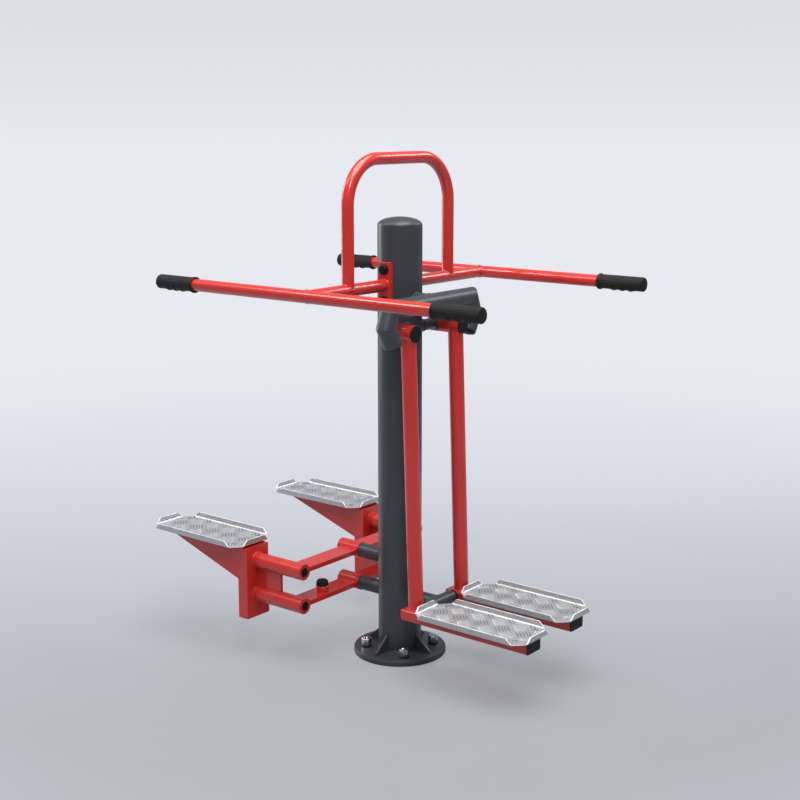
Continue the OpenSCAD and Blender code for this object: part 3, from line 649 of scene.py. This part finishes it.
@dataclass
class AnchorFixings:
    """Nut, washer and stud end at each of the base plate's anchor holes."""

    circle: float = 0.110
    floor: float = 0.018
    nut_radius: float = 0.0165
    nut_height: float = 0.025
    washer_radius: float = 0.0175
    washer_thickness: float = 0.003
    stud_radius: float = 0.0078
    stud_height: float = 0.004
    thread_count: int = 2
    thread_root: float = 0.88
    washer_break: float = 0.0005
    nut_break: float = 0.0018
    bolt_angles: tuple[float, ...] = (45, 135, 225, 315)
    nut_turns: tuple[float, ...] = (12, 41, 3, 27)

    def places(self) -> list[Vector]:
        """Gives the four places on the diagonals of the plate.

        Returns:
            The middle of each washer's underside.
        """
        return [Vector((self.circle * math.cos(math.radians(a)),
                        self.circle * math.sin(math.radians(a)), self.floor))
                for a in self.bolt_angles]

    def washers(self) -> bmesh.types.BMesh:
        """Builds the flat washers with their rims broken, which are finished black as a painted
        contact shadow.

        Returns:
            The washers' mesh.
        """
        mesh = bmesh.new()
        for place in self.places():
            made = bmesh.ops.create_cone(
                mesh, cap_ends=True, segments=40, radius1=self.washer_radius,
                radius2=self.washer_radius, depth=self.washer_thickness,
                matrix=Matrix.Translation(place + Vector((0, 0, self.washer_thickness / 2))))
            self._break_rims(mesh, made["verts"], self.washer_break, 2)
        return mesh

    def nuts(self) -> bmesh.types.BMesh:
        """Builds the hexagon nuts, each turned a little differently, with chamfered ends.

        Returns:
            The nuts' mesh.
        """
        mesh = bmesh.new()
        for turn, place in zip(self.nut_turns, self.places()):
            middle = place + Vector((0, 0, self.washer_thickness + self.nut_height / 2))
            made = bmesh.ops.create_cone(
                mesh, cap_ends=True, segments=6, radius1=self.nut_radius, radius2=self.nut_radius,
                depth=self.nut_height,
                matrix=Matrix.Translation(middle) @ Matrix.Rotation(math.radians(turn), 4, "Z"))
            self._break_rims(mesh, made["verts"], self.nut_break, 3)
        return mesh

    def studs(self) -> bmesh.types.BMesh:
        """Builds the threaded stud ends that stand above the nuts.

        Returns:
            The stud ends' mesh.
        """
        mesh = bmesh.new()
        pitch = self.stud_height / self.thread_count
        for place in self.places():
            base = place.z + self.washer_thickness + self.nut_height
            for ring in range(self.thread_count):
                for low, high, at in ((self.thread_root, 1.0, 0.25), (1.0, self.thread_root, 0.75)):
                    bmesh.ops.create_cone(
                        mesh, cap_ends=True, segments=28, radius1=self.stud_radius * low,
                        radius2=self.stud_radius * high, depth=pitch / 2,
                        matrix=Matrix.Translation((place.x, place.y, base + (ring + at) * pitch)))
        bmesh.ops.remove_doubles(mesh, verts=mesh.verts, dist=SAME_PLACE)
        return mesh

    @staticmethod
    def _break_rims(mesh: bmesh.types.BMesh, verts: list, width: float, segments: int) -> None:
        """Bevels the level rims of a disc or a nut.

        Args:
            mesh: The mesh that holds it.
            verts: Its vertices.
            width: The bevel's width.
            segments: The bevel's steps.
        """
        rims = [edge for edge in edges_of(verts)
                if abs(edge.verts[0].co.z - edge.verts[1].co.z) < SAME_PLACE]
        bmesh.ops.bevel(mesh, geom=rims, offset=width, offset_type="OFFSET", segments=segments,
                        profile=0.5, affect="EDGES", material=-1)

    def build(self, maker: PieceMaker) -> None:
        """Builds the fixings.

        Args:
            maker: Takes the finished shapes.
        """
        # The washers are black as a painted contact shadow round the nuts.
        maker.piece(self.washers(), "anchor_washers_painted_shadow", "base", "black_plastic", "black_plastic")
        maker.piece(self.nuts(), "anchor_nuts", "base", "zinc", "bright_steel", smooth=25)
        maker.piece(self.studs(), "anchor_stud_ends", "base", "zinc", "bright_steel", smooth=20)


@dataclass
class FootPlateDress:
    """Five-bar tread, painted highlight lines and screws of one foot plate, placed by its box."""

    node: str
    body: str
    # The finish of the bars along the view: a lit copy of the bar metal, as painted highlight.
    along_finish: str = "bar_painted_highlight"
    # The tread: groups of five bars on a square grid turned by 45 degrees.
    cell: float = 0.0542
    bar_half_length: float = 0.0215
    bar_half_width: float = 0.0017
    bar_height: float = 0.0007
    bar_pitch: float = 0.0097
    bar_top: float = 0.8
    bar_sink: float = 0.0001
    bar_reach: float = 0.55
    bars_in_group: int = 5
    cells: int = 7
    tread_shift: float = 0.005
    # Where the bars stop: at the walls, at the cut corners and round the screws.
    floor_thickness: float = 0.0035
    margin_x: float = 0.0075
    margin_y: float = 0.0075
    corner_margin: float = 0.004
    screw_margin: float = 0.014
    # The turned-up walls, and the painted highlight lines on their folds, top edges and cut
    # corners.
    corner: float = 0.036
    wall_inset: float = 0.0052
    edge_height: float = 0.020
    lean_degrees: float = 5.0
    fold_line_inset: float = 0.00133
    fold_line: float = 0.0028
    fold_steps: int = 4
    fold_gap: float = 0.002
    fold_skin: float = 0.0002
    edge_skin: float = 0.0003
    edge_lift: float = 0.00015
    cut_gap: float = 0.005
    cut_drop: float = 0.00165
    cut_ribbon: tuple[float, float] = (0.0004, 0.0034)
    # The button head screws, at plus and minus these places along and across the plate.
    screw_spread: tuple[float, float] = (0.163, 0.057)
    screw_radius: float = 0.0075
    screw_height: float = 0.0022
    screw_round: float = 0.0014
    socket_radius: float = 0.0029
    socket_height: float = 0.0004
    socket_wall: float = 0.0005
    socket_depth: float = 0.0003
    socket_lift: float = 0.0001

    def __post_init__(self) -> None:
        """Takes the plate's middle, half sizes and floor height from the frame's box."""
        low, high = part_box(self.node)
        self.middle = Vector(((low[0] + high[0]) / 2, (low[1] + high[1]) / 2, 0))
        self.half = ((high[0] - low[0]) / 2, (high[1] - low[1]) / 2)
        self.floor = low[2] + self.floor_thickness
        self.diagonal = math.cos(math.radians(45))

    def _on_floor(self, x: float, y: float, reach: float) -> bool:
        """Says whether a bar at a place stays on the flat floor and clear of the screws.

        Args:
            x: Place along the plate from its middle.
            y: Place across the plate from its middle.
            reach: How far the bar reaches along X and along Y.

        Returns:
            True if the bar fits.
        """
        free_x = self.half[0] - self.margin_x - abs(x) - reach
        free_y = self.half[1] - self.margin_y - abs(y) - reach
        cut = self.half[0] + self.half[1] - self.corner - abs(x) - abs(y) - self.corner_margin
        near_screw = math.hypot(abs(x) - self.screw_spread[0], abs(y) - self.screw_spread[1])
        return free_x > 0 and free_y > 0 and cut > reach and near_screw > self.screw_margin

    def tread(self, turn: BarTurn) -> bmesh.types.BMesh:
        """Builds the raised bars of one direction: every second group of five.

        Args:
            turn: The direction of the bars.

        Returns:
            The bars' mesh.
        """
        mesh = bmesh.new()
        reach = self.bar_half_length * self.diagonal * self.bar_reach
        along = math.radians(turn.value)
        for i in range(-self.cells, self.cells + 1):
            for j in range(-self.cells, self.cells + 1):
                if ((i + j) % 2 == 0) != (turn is BarTurn.ACROSS):
                    continue
                centre_x = (i + j) * self.cell * self.diagonal
                centre_y = (i - j) * self.cell * self.diagonal + self.tread_shift
                for k in range(self.bars_in_group):
                    step = (k - (self.bars_in_group - 1) / 2) * self.bar_pitch
                    x = centre_x - step * math.sin(along)
                    y = centre_y + step * math.cos(along)
                    if self._on_floor(x, y, reach):
                        self._bar(mesh, x, y, along)
        return mesh

    def _bar(self, mesh: bmesh.types.BMesh, x: float, y: float, along: float) -> None:
        """Adds one raised bar: a pointed oval with sloping sides and a flat top.

        Args:
            mesh: The mesh that gets the bar.
            x: Place along the plate from its middle.
            y: Place across the plate from its middle.
            along: The bar's direction in radians.
        """
        made = bmesh.ops.create_cone(mesh, cap_ends=True, segments=10, radius1=1.0,
                                     radius2=self.bar_top, depth=1.0)
        place = (Matrix.Translation((self.middle.x + x, self.middle.y + y,
                                     self.floor + self.bar_height / 2 - self.bar_sink))
                 @ Matrix.Rotation(along, 4, "Z")
                 @ Matrix.Diagonal((self.bar_half_length, self.bar_half_width, self.bar_height, 1)))
        bmesh.ops.transform(mesh, matrix=place, verts=made["verts"])

    def folds(self) -> bmesh.types.BMesh:
        """Builds thin strips along the inside of the folds, finished as painted highlight lines.

        Returns:
            The lines' mesh.
        """
        mesh = bmesh.new()
        radius = self.fold_line
        for axis, half, run in ((0, self.half[0], self.half[1] - self.corner),
                                (1, self.half[1], self.half[0] - self.corner)):
            for sign in (-1, 1):
                wall = half - self.wall_inset
                arc = []
                for i in range(self.fold_steps + 1):
                    turn = math.pi / 2 * i / self.fold_steps
                    arc.append((wall - radius + radius * math.sin(turn),
                                self.floor + radius - radius * math.cos(turn) + self.fold_skin))
                rows = []
                for end in (-1, 1):
                    row = []
                    for out, z in arc:
                        place = [0.0, 0.0]
                        place[axis] = sign * out
                        place[1 - axis] = end * (run - self.fold_gap)
                        row.append(mesh.verts.new((self.middle.x + place[0],
                                                   self.middle.y + place[1], z)))
                    rows.append([mesh.edges.new(pair) for pair in zip(row, row[1:])])
                bmesh.ops.bridge_loops(mesh, edges=rows[0] + rows[1])
        bmesh.ops.solidify(mesh, geom=mesh.faces, thickness=-self.fold_skin)
        return mesh

    def edge_highlight_strips(self) -> bmesh.types.BMesh:
        """Builds thin strips on the top edges of the turned-up walls and along the cut corners, as
        painted highlight.

        Returns:
            The edges' mesh.
        """
        mesh = bmesh.new()
        base = self.floor - self.floor_thickness
        lean = math.tan(math.radians(self.lean_degrees))
        cut = self.fold_line_inset + self.corner
        for axis, half, run in ((0, self.half[0], self.half[1] - cut),
                                (1, self.half[1], self.half[0] - cut)):
            slope = self.edge_height - self.floor_thickness
            path = ((-run, self.floor_thickness), (slope - run, self.edge_height),
                    (run - slope, self.edge_height), (run, self.floor_thickness))
            for sign in (-1, 1):
                ribbon = bmesh.ops.create_grid(mesh, x_segments=1, y_segments=3, size=1)
                ranked = sorted(ribbon["verts"], key=lambda v: (round(v.co.y, 3), v.co.x))
                for place, vert in enumerate(ranked):
                    along, height = path[place // 2]
                    out = half - (self.edge_height - height) * lean
                    if place % 2 == 0:
                        out -= self.floor_thickness
                    spot = [0.0, 0.0]
                    spot[axis] = sign * out
                    spot[1 - axis] = along
                    vert.co = Vector((self.middle.x + spot[0], self.middle.y + spot[1],
                                      base + height + self.edge_lift))
        bmesh.ops.solidify(mesh, geom=mesh.faces, thickness=-self.edge_skin)
        reach_x = self.half[0] - self.fold_line_inset
        reach_y = self.half[1] - self.fold_line_inset
        for sx in (-1, 1):
            for sy in (-1, 1):
                ribbon = bmesh.ops.create_cube(mesh, size=1)
                near = Vector((sx * (reach_x - self.corner), sy * (reach_y - self.cut_gap), 0))
                far = Vector((sx * (reach_x - self.cut_gap), sy * (reach_y - self.corner), 0))
                way = far - near
                turn = Matrix.Rotation(math.atan2(way.y, way.x), 4, "Z")
                centre = self.middle + (near + far) / 2 + Vector((0, 0, self.floor - self.cut_drop))
                bmesh.ops.transform(mesh, verts=ribbon["verts"], matrix=Matrix.Translation(centre)
                                    @ turn @ Matrix.Diagonal((way.length, *self.cut_ribbon, 1)))
        return mesh

    def screws(self) -> bmesh.types.BMesh:
        """Builds the round screw heads with their hexagon sockets.

        Returns:
            The screws' mesh.
        """
        mesh = bmesh.new()
        for sx in (-1, 1):
            for sy in (-1, 1):
                x = self.middle.x + sx * self.screw_spread[0]
                y = self.middle.y + sy * self.screw_spread[1]
                made = bmesh.ops.create_cone(
                    mesh, cap_ends=True, segments=36, radius1=self.screw_radius,
                    radius2=self.screw_radius, depth=self.screw_height,
                    matrix=Matrix.Translation((x, y, self.floor + self.screw_height / 2)))
                top = max(v.co.z for v in made["verts"])
                rim = [e for e in edges_of(made["verts"])
                       if all(abs(v.co.z - top) < SAME_PLACE for v in e.verts)]
                bmesh.ops.bevel(mesh, geom=rim, offset=self.screw_round, offset_type="OFFSET",
                                segments=3, profile=0.5, affect="EDGES", material=-1)
                socket = bmesh.ops.create_cone(
                    mesh, cap_ends=True, segments=6, radius1=self.socket_radius,
                    radius2=self.socket_radius, depth=self.socket_height,
                    matrix=Matrix.Translation(
                        (x, y, self.floor + self.screw_height + self.socket_lift)))
                crown = next(face for vert in socket["verts"] for face in vert.link_faces
                             if face.normal.z > 0.9)
                bmesh.ops.inset_region(mesh, faces=[crown], thickness=self.socket_wall, depth=0)
                bmesh.ops.translate(mesh, verts=crown.verts, vec=(0, 0, -self.socket_depth))
        return mesh

    def build(self, maker: PieceMaker) -> None:
        """Builds the tread, the painted highlight lines on the folds and edges, and the screws.

        Args:
            maker: Takes the finished shapes.
        """
        tread = "tread_aluminium"
        # The bar groups are one metal: their finishes paint shade on the bars across the view and
        # highlight on those along it.
        for mesh, part, finish, slot, smooth in (
                (self.tread(BarTurn.ACROSS), "tread_across", "bar_painted_shade", tread, 20),
                (self.tread(BarTurn.ALONG), "tread_along", self.along_finish, tread, 20),
                (self.folds(), "fold_highlight_strips", "painted_highlight_lines", tread, 50),
                (self.edge_highlight_strips(), "edge_highlight_strips", "painted_highlight_lines", tread, 30),
                (self.screws(), "screws", "bright_steel", "bright_steel", 30)):
            maker.piece(mesh, f"{self.node}_{part}", self.body, finish, slot, smooth)


@dataclass
class WeldBeads:
    """Fillet welds under the coat, as beads in the corners where tubes meet plates and tubes."""

    bead_radius: float = 0.0024
    bead_sides: int = 8
    steps: int = 72
    reach_limit: float = 0.985
    # The red handle frame.
    tube_radius: float = 0.019
    handle_z: float = 1.211
    saddle_y: float = 0.0782
    hoop_y: float = 0.248
    handle_y: float = 0.432
    # The post and what is welded to it.
    post_radius: float = 0.070
    plate_top: float = 0.0185
    arch_place: tuple[float, float, float] = (0.1225, 0, 1.158)
    arch_radius: float = 0.0299
    arch_stub: float = 0.0285
    bumper_place: tuple[float, float, float] = (0.155, 0, 0.197)
    bumper_radius: float = 0.023
    axle_radius: float = 0.0235
    rocker_heights: tuple[float, float] = (0.310, 0.198)
    carrier_x: float = 0.0567
    carrier_radius: float = 0.018
    housing_radius: float = 0.0415
    shaft_z: float = 1.079
    leg_y: float = 0.120
    # Place along X, height and radius at the leg's foot, then place along X and radius at its hub.
    leg_foot: tuple[float, float, float] = (0.1597, 0.2128, 0.0243)
    leg_head: tuple[float, float] = (0.1285, 0.024)
    hub_radius: float = 0.0275
    # The stepper's brackets.
    pivot_y: float = 0.291
    column_x: float = -0.3588
    pivot_radius: float = 0.0262

    def ring(self, mesh: bmesh.types.BMesh, centre: tuple[float, float, float], radius: float,
             axis: tuple[float, float, float], host_axis: tuple[float, float, float] | None = None,
             host_radius: float = 0.0) -> None:
        """Adds one round bead, flat on a plate or bent round a host tube.

        Args:
            mesh: The mesh that gets the bead.
            centre: The middle of the ring, or the place on the host's axis below it.
            radius: The ring's radius.
            axis: The direction that the ring goes round, outward from the host.
            host_axis: The direction of the host tube, if the bead sits on one.
            host_radius: The host tube's radius.
        """
        before = set(mesh.verts)
        out = Vector(axis)
        turn = Vector((0, 0, 1)).rotation_difference(out).to_matrix().to_4x4()
        place = Matrix.Translation(centre) @ turn
        bead = bmesh.ops.create_circle(
            mesh, segments=self.bead_sides, radius=self.bead_radius,
            matrix=place @ Matrix.Translation((radius, 0, 0))
            @ Matrix.Rotation(math.pi / 2, 4, "X"))
        bmesh.ops.spin(mesh, geom=edges_of(bead["verts"]), cent=centre, axis=axis,
                       angle=2 * math.pi, steps=self.steps, use_merge=True, use_duplicate=False)
        if host_axis is None:
            return
        across = out.cross(Vector(host_axis)).normalized()
        for vert in set(mesh.verts) - before:
            side = (vert.co - Vector(centre)).dot(across)
            reach = min(abs(side), self.reach_limit * min(radius, host_radius))
            vert.co += out * math.sqrt(host_radius ** 2 - reach ** 2)

    def on_frame(self, maker: PieceMaker) -> None:
        """Builds the beads of the fixed red tubes.

        Args:
            maker: Takes the finished shapes.
        """
        tube = self.tube_radius
        z = self.handle_z
        red = bmesh.new()
        for side in Side:
            sign = side.value
            self.ring(red, (0, sign * self.saddle_y, z), tube, (0, sign, 0))
            self.ring(red, (0, sign * self.hoop_y, z), tube, (0, 0, 1), (0, 1, 0), tube)
            self.ring(red, (0, sign * self.handle_y, z), tube, (0, -sign, 0), (1, 0, 0), tube)
        maker.piece(red, "handle_frame_welds", "base", "red_powder_coat", "red_powder_coat",
                    smooth=60)

    def on_post(self, maker: PieceMaker) -> None:
        """Builds the beads of what is welded to the post.

        Args:
            maker: Takes the finished shapes.
        """
        post = self.post_radius
        up = (0, 0, 1)
        grey = bmesh.new()
        self.ring(grey, (0, 0, self.plate_top), post, up)
        for place, radius, far in ((self.arch_place, self.arch_stub, self.arch_radius),
                                   (self.bumper_place, self.bumper_radius, self.bumper_radius)):
            self.ring(grey, (0, 0, place[2]), radius, (1, 0, 0), up, post)
            self.ring(grey, place, radius, (-1, 0, 0), (0, 1, 0), far)
        for z in self.rocker_heights:
            self.ring(grey, (0, 0, z), self.axle_radius, (-1, 0, 0), up, post)
        for side in Side:
            self.ring(grey, (self.carrier_x, 0, self.shaft_z), self.carrier_radius,
                      (0, side.value, 0), up, self.housing_radius)
        maker.piece(grey, "post_welds", "base", "grey_powder_coat", "grey_powder_coat",
                    smooth=60)

    def on_side(self, maker: PieceMaker, side: Side) -> None:
        """Builds the beads of one leg and one stepper bracket.

        Args:
            maker: Takes the finished shapes.
            side: The side they are on.
        """
        label = side.name.lower()
        leg_y = side.value * self.leg_y
        foot_x, foot_z, foot_radius = self.leg_foot
        head_x, head_radius = self.leg_head
        leg = bmesh.new()
        self.ring(leg, (foot_x, leg_y, foot_z), foot_radius, (0, 0, 1))
        self.ring(leg, (head_x, leg_y, self.shaft_z), head_radius, (0, 0, -1), (1, 0, 0),
                  self.hub_radius)
        maker.piece(leg, f"{label}_leg_welds", f"{label}_leg_body", "red_powder_coat",
                    "red_powder_coat", smooth=60)
        bracket = bmesh.new()
        for z in self.rocker_heights:
            self.ring(bracket, (self.column_x, side.value * self.pivot_y, z), self.pivot_radius,
                      (1, 0, 0))
        maker.piece(bracket, f"{label}_bracket_welds", f"{label}_step_body", "red_powder_coat",
                    "red_powder_coat", smooth=60)

    def build(self, maker: PieceMaker) -> None:
        """Builds the beads, one piece for each body that carries some.

        Args:
            maker: Takes the finished shapes.
        """
        self.on_frame(maker)
        self.on_post(maker)
        for side in Side:
            self.on_side(maker, side)


@dataclass
class Studio:
    """Pale floor and backdrop, soft lights, and the camera at the photograph's place."""

    # The camera, and the level direction in which it looks.
    camera_place: tuple[float, float, float] = (2.6628, -3.3445, 1.7180)
    camera_turn: tuple[float, float, float] = (78.378, 0.0, 38.522)
    lens: float = 61.92
    away: tuple[float, float, float] = (-0.623, 0.782, 0.0)
    # The room's light, and the backdrop that the camera sees.
    room_colour: str = "#E6EAF2"
    room_front: float = 0.28
    room_back: float = 0.4
    backdrop_low: str = "#E8EBF1"
    backdrop_high: str = "#DAE0E5"
    backdrop_band: tuple[float, float] = (-0.03, 0.06)
    room_turn: tuple[float, float] = (-0.2, 0.75)
    # The floor.
    floor_radius: float = 60
    calm_radius: float = 1.6
    calm_slope: float = 1.6
    glow_reach: tuple[float, float] = (-0.2, 2.6)
    shade_reach: tuple[float, float] = (-1.0, 9.0)
    floor_roughness: float = 0.4
    floor_glow: float = 0.46
    floor_share: str = "#CDCFD2"
    floor_shades: tuple[tuple[float, str], ...] = (
        (0.0, "#BABBC1"), (0.09, "#C0C2C8"), (0.17, "#CDD0D8"), (0.28, "#D6DAE2"),
        (0.45, "#E1E4EC"), (0.6, "#E5E8EF"), (1.0, "#E8EBF1"))
    # The soft boxes: name, place, width and height, and power in watts.
    aim_height: float = 0.8
    lamps: tuple[tuple[str, tuple[float, float, float], tuple[float, float], float], ...] = (
        ("overhead", (0.6, -0.4, 4.6), (3.4, 3.4), 220),
        ("left_high", (-2.7, -2.4, 4.4), (1.2, 0.7), 55),
        ("right_high", (2.2, 4.8, 4.4), (1.6, 1.0), 60),
        ("front_key", (2.55, -3.2, 4.6), (1.4, 1.0), 70),
        ("left_strip", (-3.9, -0.3, 1.7), (1.2, 2.6), 50),
    )

    def camera(self) -> None:
        """Sets the camera that was worked out from the photograph's perspective."""
        data = bpy.data.cameras.new("photo_camera")
        data.lens = self.lens
        data.sensor_width = 36.0
        data.clip_end = 200
        eye = bpy.data.objects.new("photo_camera", data)
        eye.location = self.camera_place
        eye.rotation_euler = tuple(math.radians(a) for a in self.camera_turn)
        bpy.context.scene.collection.objects.link(eye)
        bpy.context.scene.camera = eye

    def floor(self) -> None:
        """Builds the round floor, which takes shadows near the station and glows far from it.

        Its shade follows the photograph's depth in front of the station, and the distance from
        the station beyond the calm radius, so it meets the backdrop in every view. The glow is
        there for the camera alone and doesn't light the station.
        """
        mesh = bmesh.new()
        bmesh.ops.create_circle(mesh, cap_ends=True, segments=96, radius=self.floor_radius)
        data = bpy.data.meshes.new("studio_floor")
        mesh.to_mesh(data)
        mesh.free()
        floor = bpy.data.objects.new("studio_floor", data)
        bpy.context.scene.collection.objects.link(floor)
        material, tree, output = new_material("studio floor")
        place = add_node(tree, "ShaderNodeTexCoord")
        depth = add_node(tree, "ShaderNodeVectorMath", {"operation": "DOT_PRODUCT", 1: self.away},
                         {0: place.outputs["Object"]})
        radius = add_node(tree, "ShaderNodeVectorMath", {"operation": "LENGTH"},
                          {0: place.outputs["Object"]})
        beyond = add_node(tree, "ShaderNodeMath", {"operation": "SUBTRACT", 1: self.calm_radius},
                          {0: radius.outputs["Value"]})
        spread = add_node(tree, "ShaderNodeMath", {"operation": "MULTIPLY", 1: self.calm_slope},
                          {0: beyond.outputs["Value"]})
        reach = add_node(tree, "ShaderNodeMath", {"operation": "MAXIMUM"},
                         {0: depth.outputs["Value"], 1: spread.outputs["Value"]})
        fade = add_node(tree, "ShaderNodeMapRange", {"From Min": self.glow_reach[0],
                                                     "From Max": self.glow_reach[1],
                                                     "To Min": self.floor_glow,
                                                     "interpolation_type": "SMOOTHSTEP"},
                        {"Value": reach.outputs["Value"]})
        step = add_node(tree, "ShaderNodeMapRange", {"From Min": self.shade_reach[0],
                                                     "From Max": self.shade_reach[1]},
                        {"Value": reach.outputs["Value"]})
        shades = add_node(tree, "ShaderNodeValToRGB", None, {"Fac": step.outputs["Result"]})
        ramp = shades.color_ramp
        ramp.interpolation = "B_SPLINE"
        while len(ramp.elements) < len(self.floor_shades):
            ramp.elements.new(0.5)
        for element, (at, code) in zip(ramp.elements, self.floor_shades):
            element.position = at
            element.color = srgb(code)
        dim = add_node(tree, "ShaderNodeMix", {"data_type": "RGBA", "blend_type": "MULTIPLY",
                                               0: 1.0, 7: srgb(self.floor_share)},
                       {6: shades.outputs["Color"]})
        near = add_node(tree, "ShaderNodeBsdfPrincipled", {"Roughness": self.floor_roughness},
                        {"Base Color": dim.outputs[2]})
        glow = add_node(tree, "ShaderNodeEmission", None, {"Color": shades.outputs["Color"]})
        path = add_node(tree, "ShaderNodeLightPath")
        shown = add_node(tree, "ShaderNodeMath", {"operation": "MULTIPLY"},
                         {0: fade.outputs["Result"], 1: path.outputs["Is Camera Ray"]})
        both = add_node(tree, "ShaderNodeMixShader", None,
                        {0: shown.outputs["Value"], 1: near.outputs["BSDF"],
                         2: glow.outputs["Emission"]})
        tree.links.new(both.outputs["Shader"], output.inputs["Surface"])
        data.materials.append(material)

    def world(self) -> None:
        """Lights the room dimly and shows a pale graded backdrop to the camera."""
        world = bpy.data.worlds.new("studio world")
        bpy.context.scene.world = world
        world.use_nodes = True
        tree = world.node_tree
        tree.nodes.clear()
        path = add_node(tree, "ShaderNodeLightPath")
        way = add_node(tree, "ShaderNodeTexCoord")
        parts = add_node(tree, "ShaderNodeSeparateXYZ", None, {"Vector": way.outputs["Generated"]})
        height = add_node(tree, "ShaderNodeMapRange", {"From Min": self.backdrop_band[0],
                                                       "From Max": self.backdrop_band[1]},
                          {"Value": parts.outputs["Z"]})
        shade = add_node(tree, "ShaderNodeMix", {"data_type": "RGBA", 6: srgb(self.backdrop_low),
                                                 7: srgb(self.backdrop_high)},
                         {0: height.outputs["Result"]})
        side = add_node(tree, "ShaderNodeVectorMath", {"operation": "DOT_PRODUCT", 1: self.away},
                        {0: way.outputs["Generated"]})
        level = add_node(tree, "ShaderNodeMapRange", {"From Min": self.room_turn[0],
                                                      "From Max": self.room_turn[1],
                                                      "To Min": self.room_front,
                                                      "To Max": self.room_back},
                         {"Value": side.outputs["Value"]})
        room = add_node(tree, "ShaderNodeBackground", {"Color": srgb(self.room_colour)},
                        {"Strength": level.outputs["Result"]})
        seen = add_node(tree, "ShaderNodeBackground", None, {"Color": shade.outputs[2]})
        both = add_node(tree, "ShaderNodeMixShader", None,
                        {0: path.outputs["Is Camera Ray"], 1: room.outputs["Background"],
                         2: seen.outputs["Background"]})
        add_node(tree, "ShaderNodeOutputWorld", None, {"Surface": both.outputs["Shader"]})

    def lamp(self, name: str, place: tuple[float, float, float], size: tuple[float, float],
             power: float) -> None:
        """Adds one soft box aimed at the station.

        Args:
            name: The light's name.
            place: Where it hangs.
            size: Its width and height.
            power: Its power in watts.
        """
        data = bpy.data.lights.new(name, "AREA")
        data.shape = "RECTANGLE"
        data.size, data.size_y = size
        data.energy = power
        lamp = bpy.data.objects.new(name, data)
        lamp.location = place
        lamp.visible_camera = False
        aim = Vector((0, 0, self.aim_height)) - Vector(place)
        lamp.rotation_euler = aim.to_track_quat("-Z", "Y").to_euler()
        bpy.context.scene.collection.objects.link(lamp)

    def build(self) -> None:
        """Builds the studio."""
        bpy.context.scene.view_settings.view_transform = "Standard"
        self.camera()
        self.world()
        self.floor()
        for name, place, size, power in self.lamps:
            self.lamp(name, place, size, power)


def main() -> None:
    """Builds the studio, dresses the solids and adds the pieces, in that order."""
    logging.basicConfig(level=logging.INFO, format="%(name)s: %(message)s")
    Studio().build()
    slots = {part["node"]: part["material_slot"] for part in FRAME["record"]["subparts"]}
    maker = PieceMaker(FinishBook().by_slot())
    maker.dress_solids(slots)
    BrokenEdges().build()
    PostCrown().build(maker)
    StopPlugs().build(maker)
    StopBuffers().build(maker)
    for side in Side:
        for end, place in ((1, "front"), (-1, "rear")):
            HandGrip(f"{side.name.lower()}_{place}_grip", end).build(maker)
    AnchorFixings().build(maker)
    for side in Side:
        label = side.name.lower()
        FootPlateDress(f"{label}_swing_plate", f"{label}_leg_body").build(maker)
        # The stepper plates' bars along the view get a dimmer painted highlight.
        FootPlateDress(f"{label}_step_plate", f"{label}_step_body", "bar_painted_dim_highlight").build(maker)
    WeldBeads().build(maker)
    log.info("%d pieces made", len(maker.made))


if __name__ == "__main__":
    main()
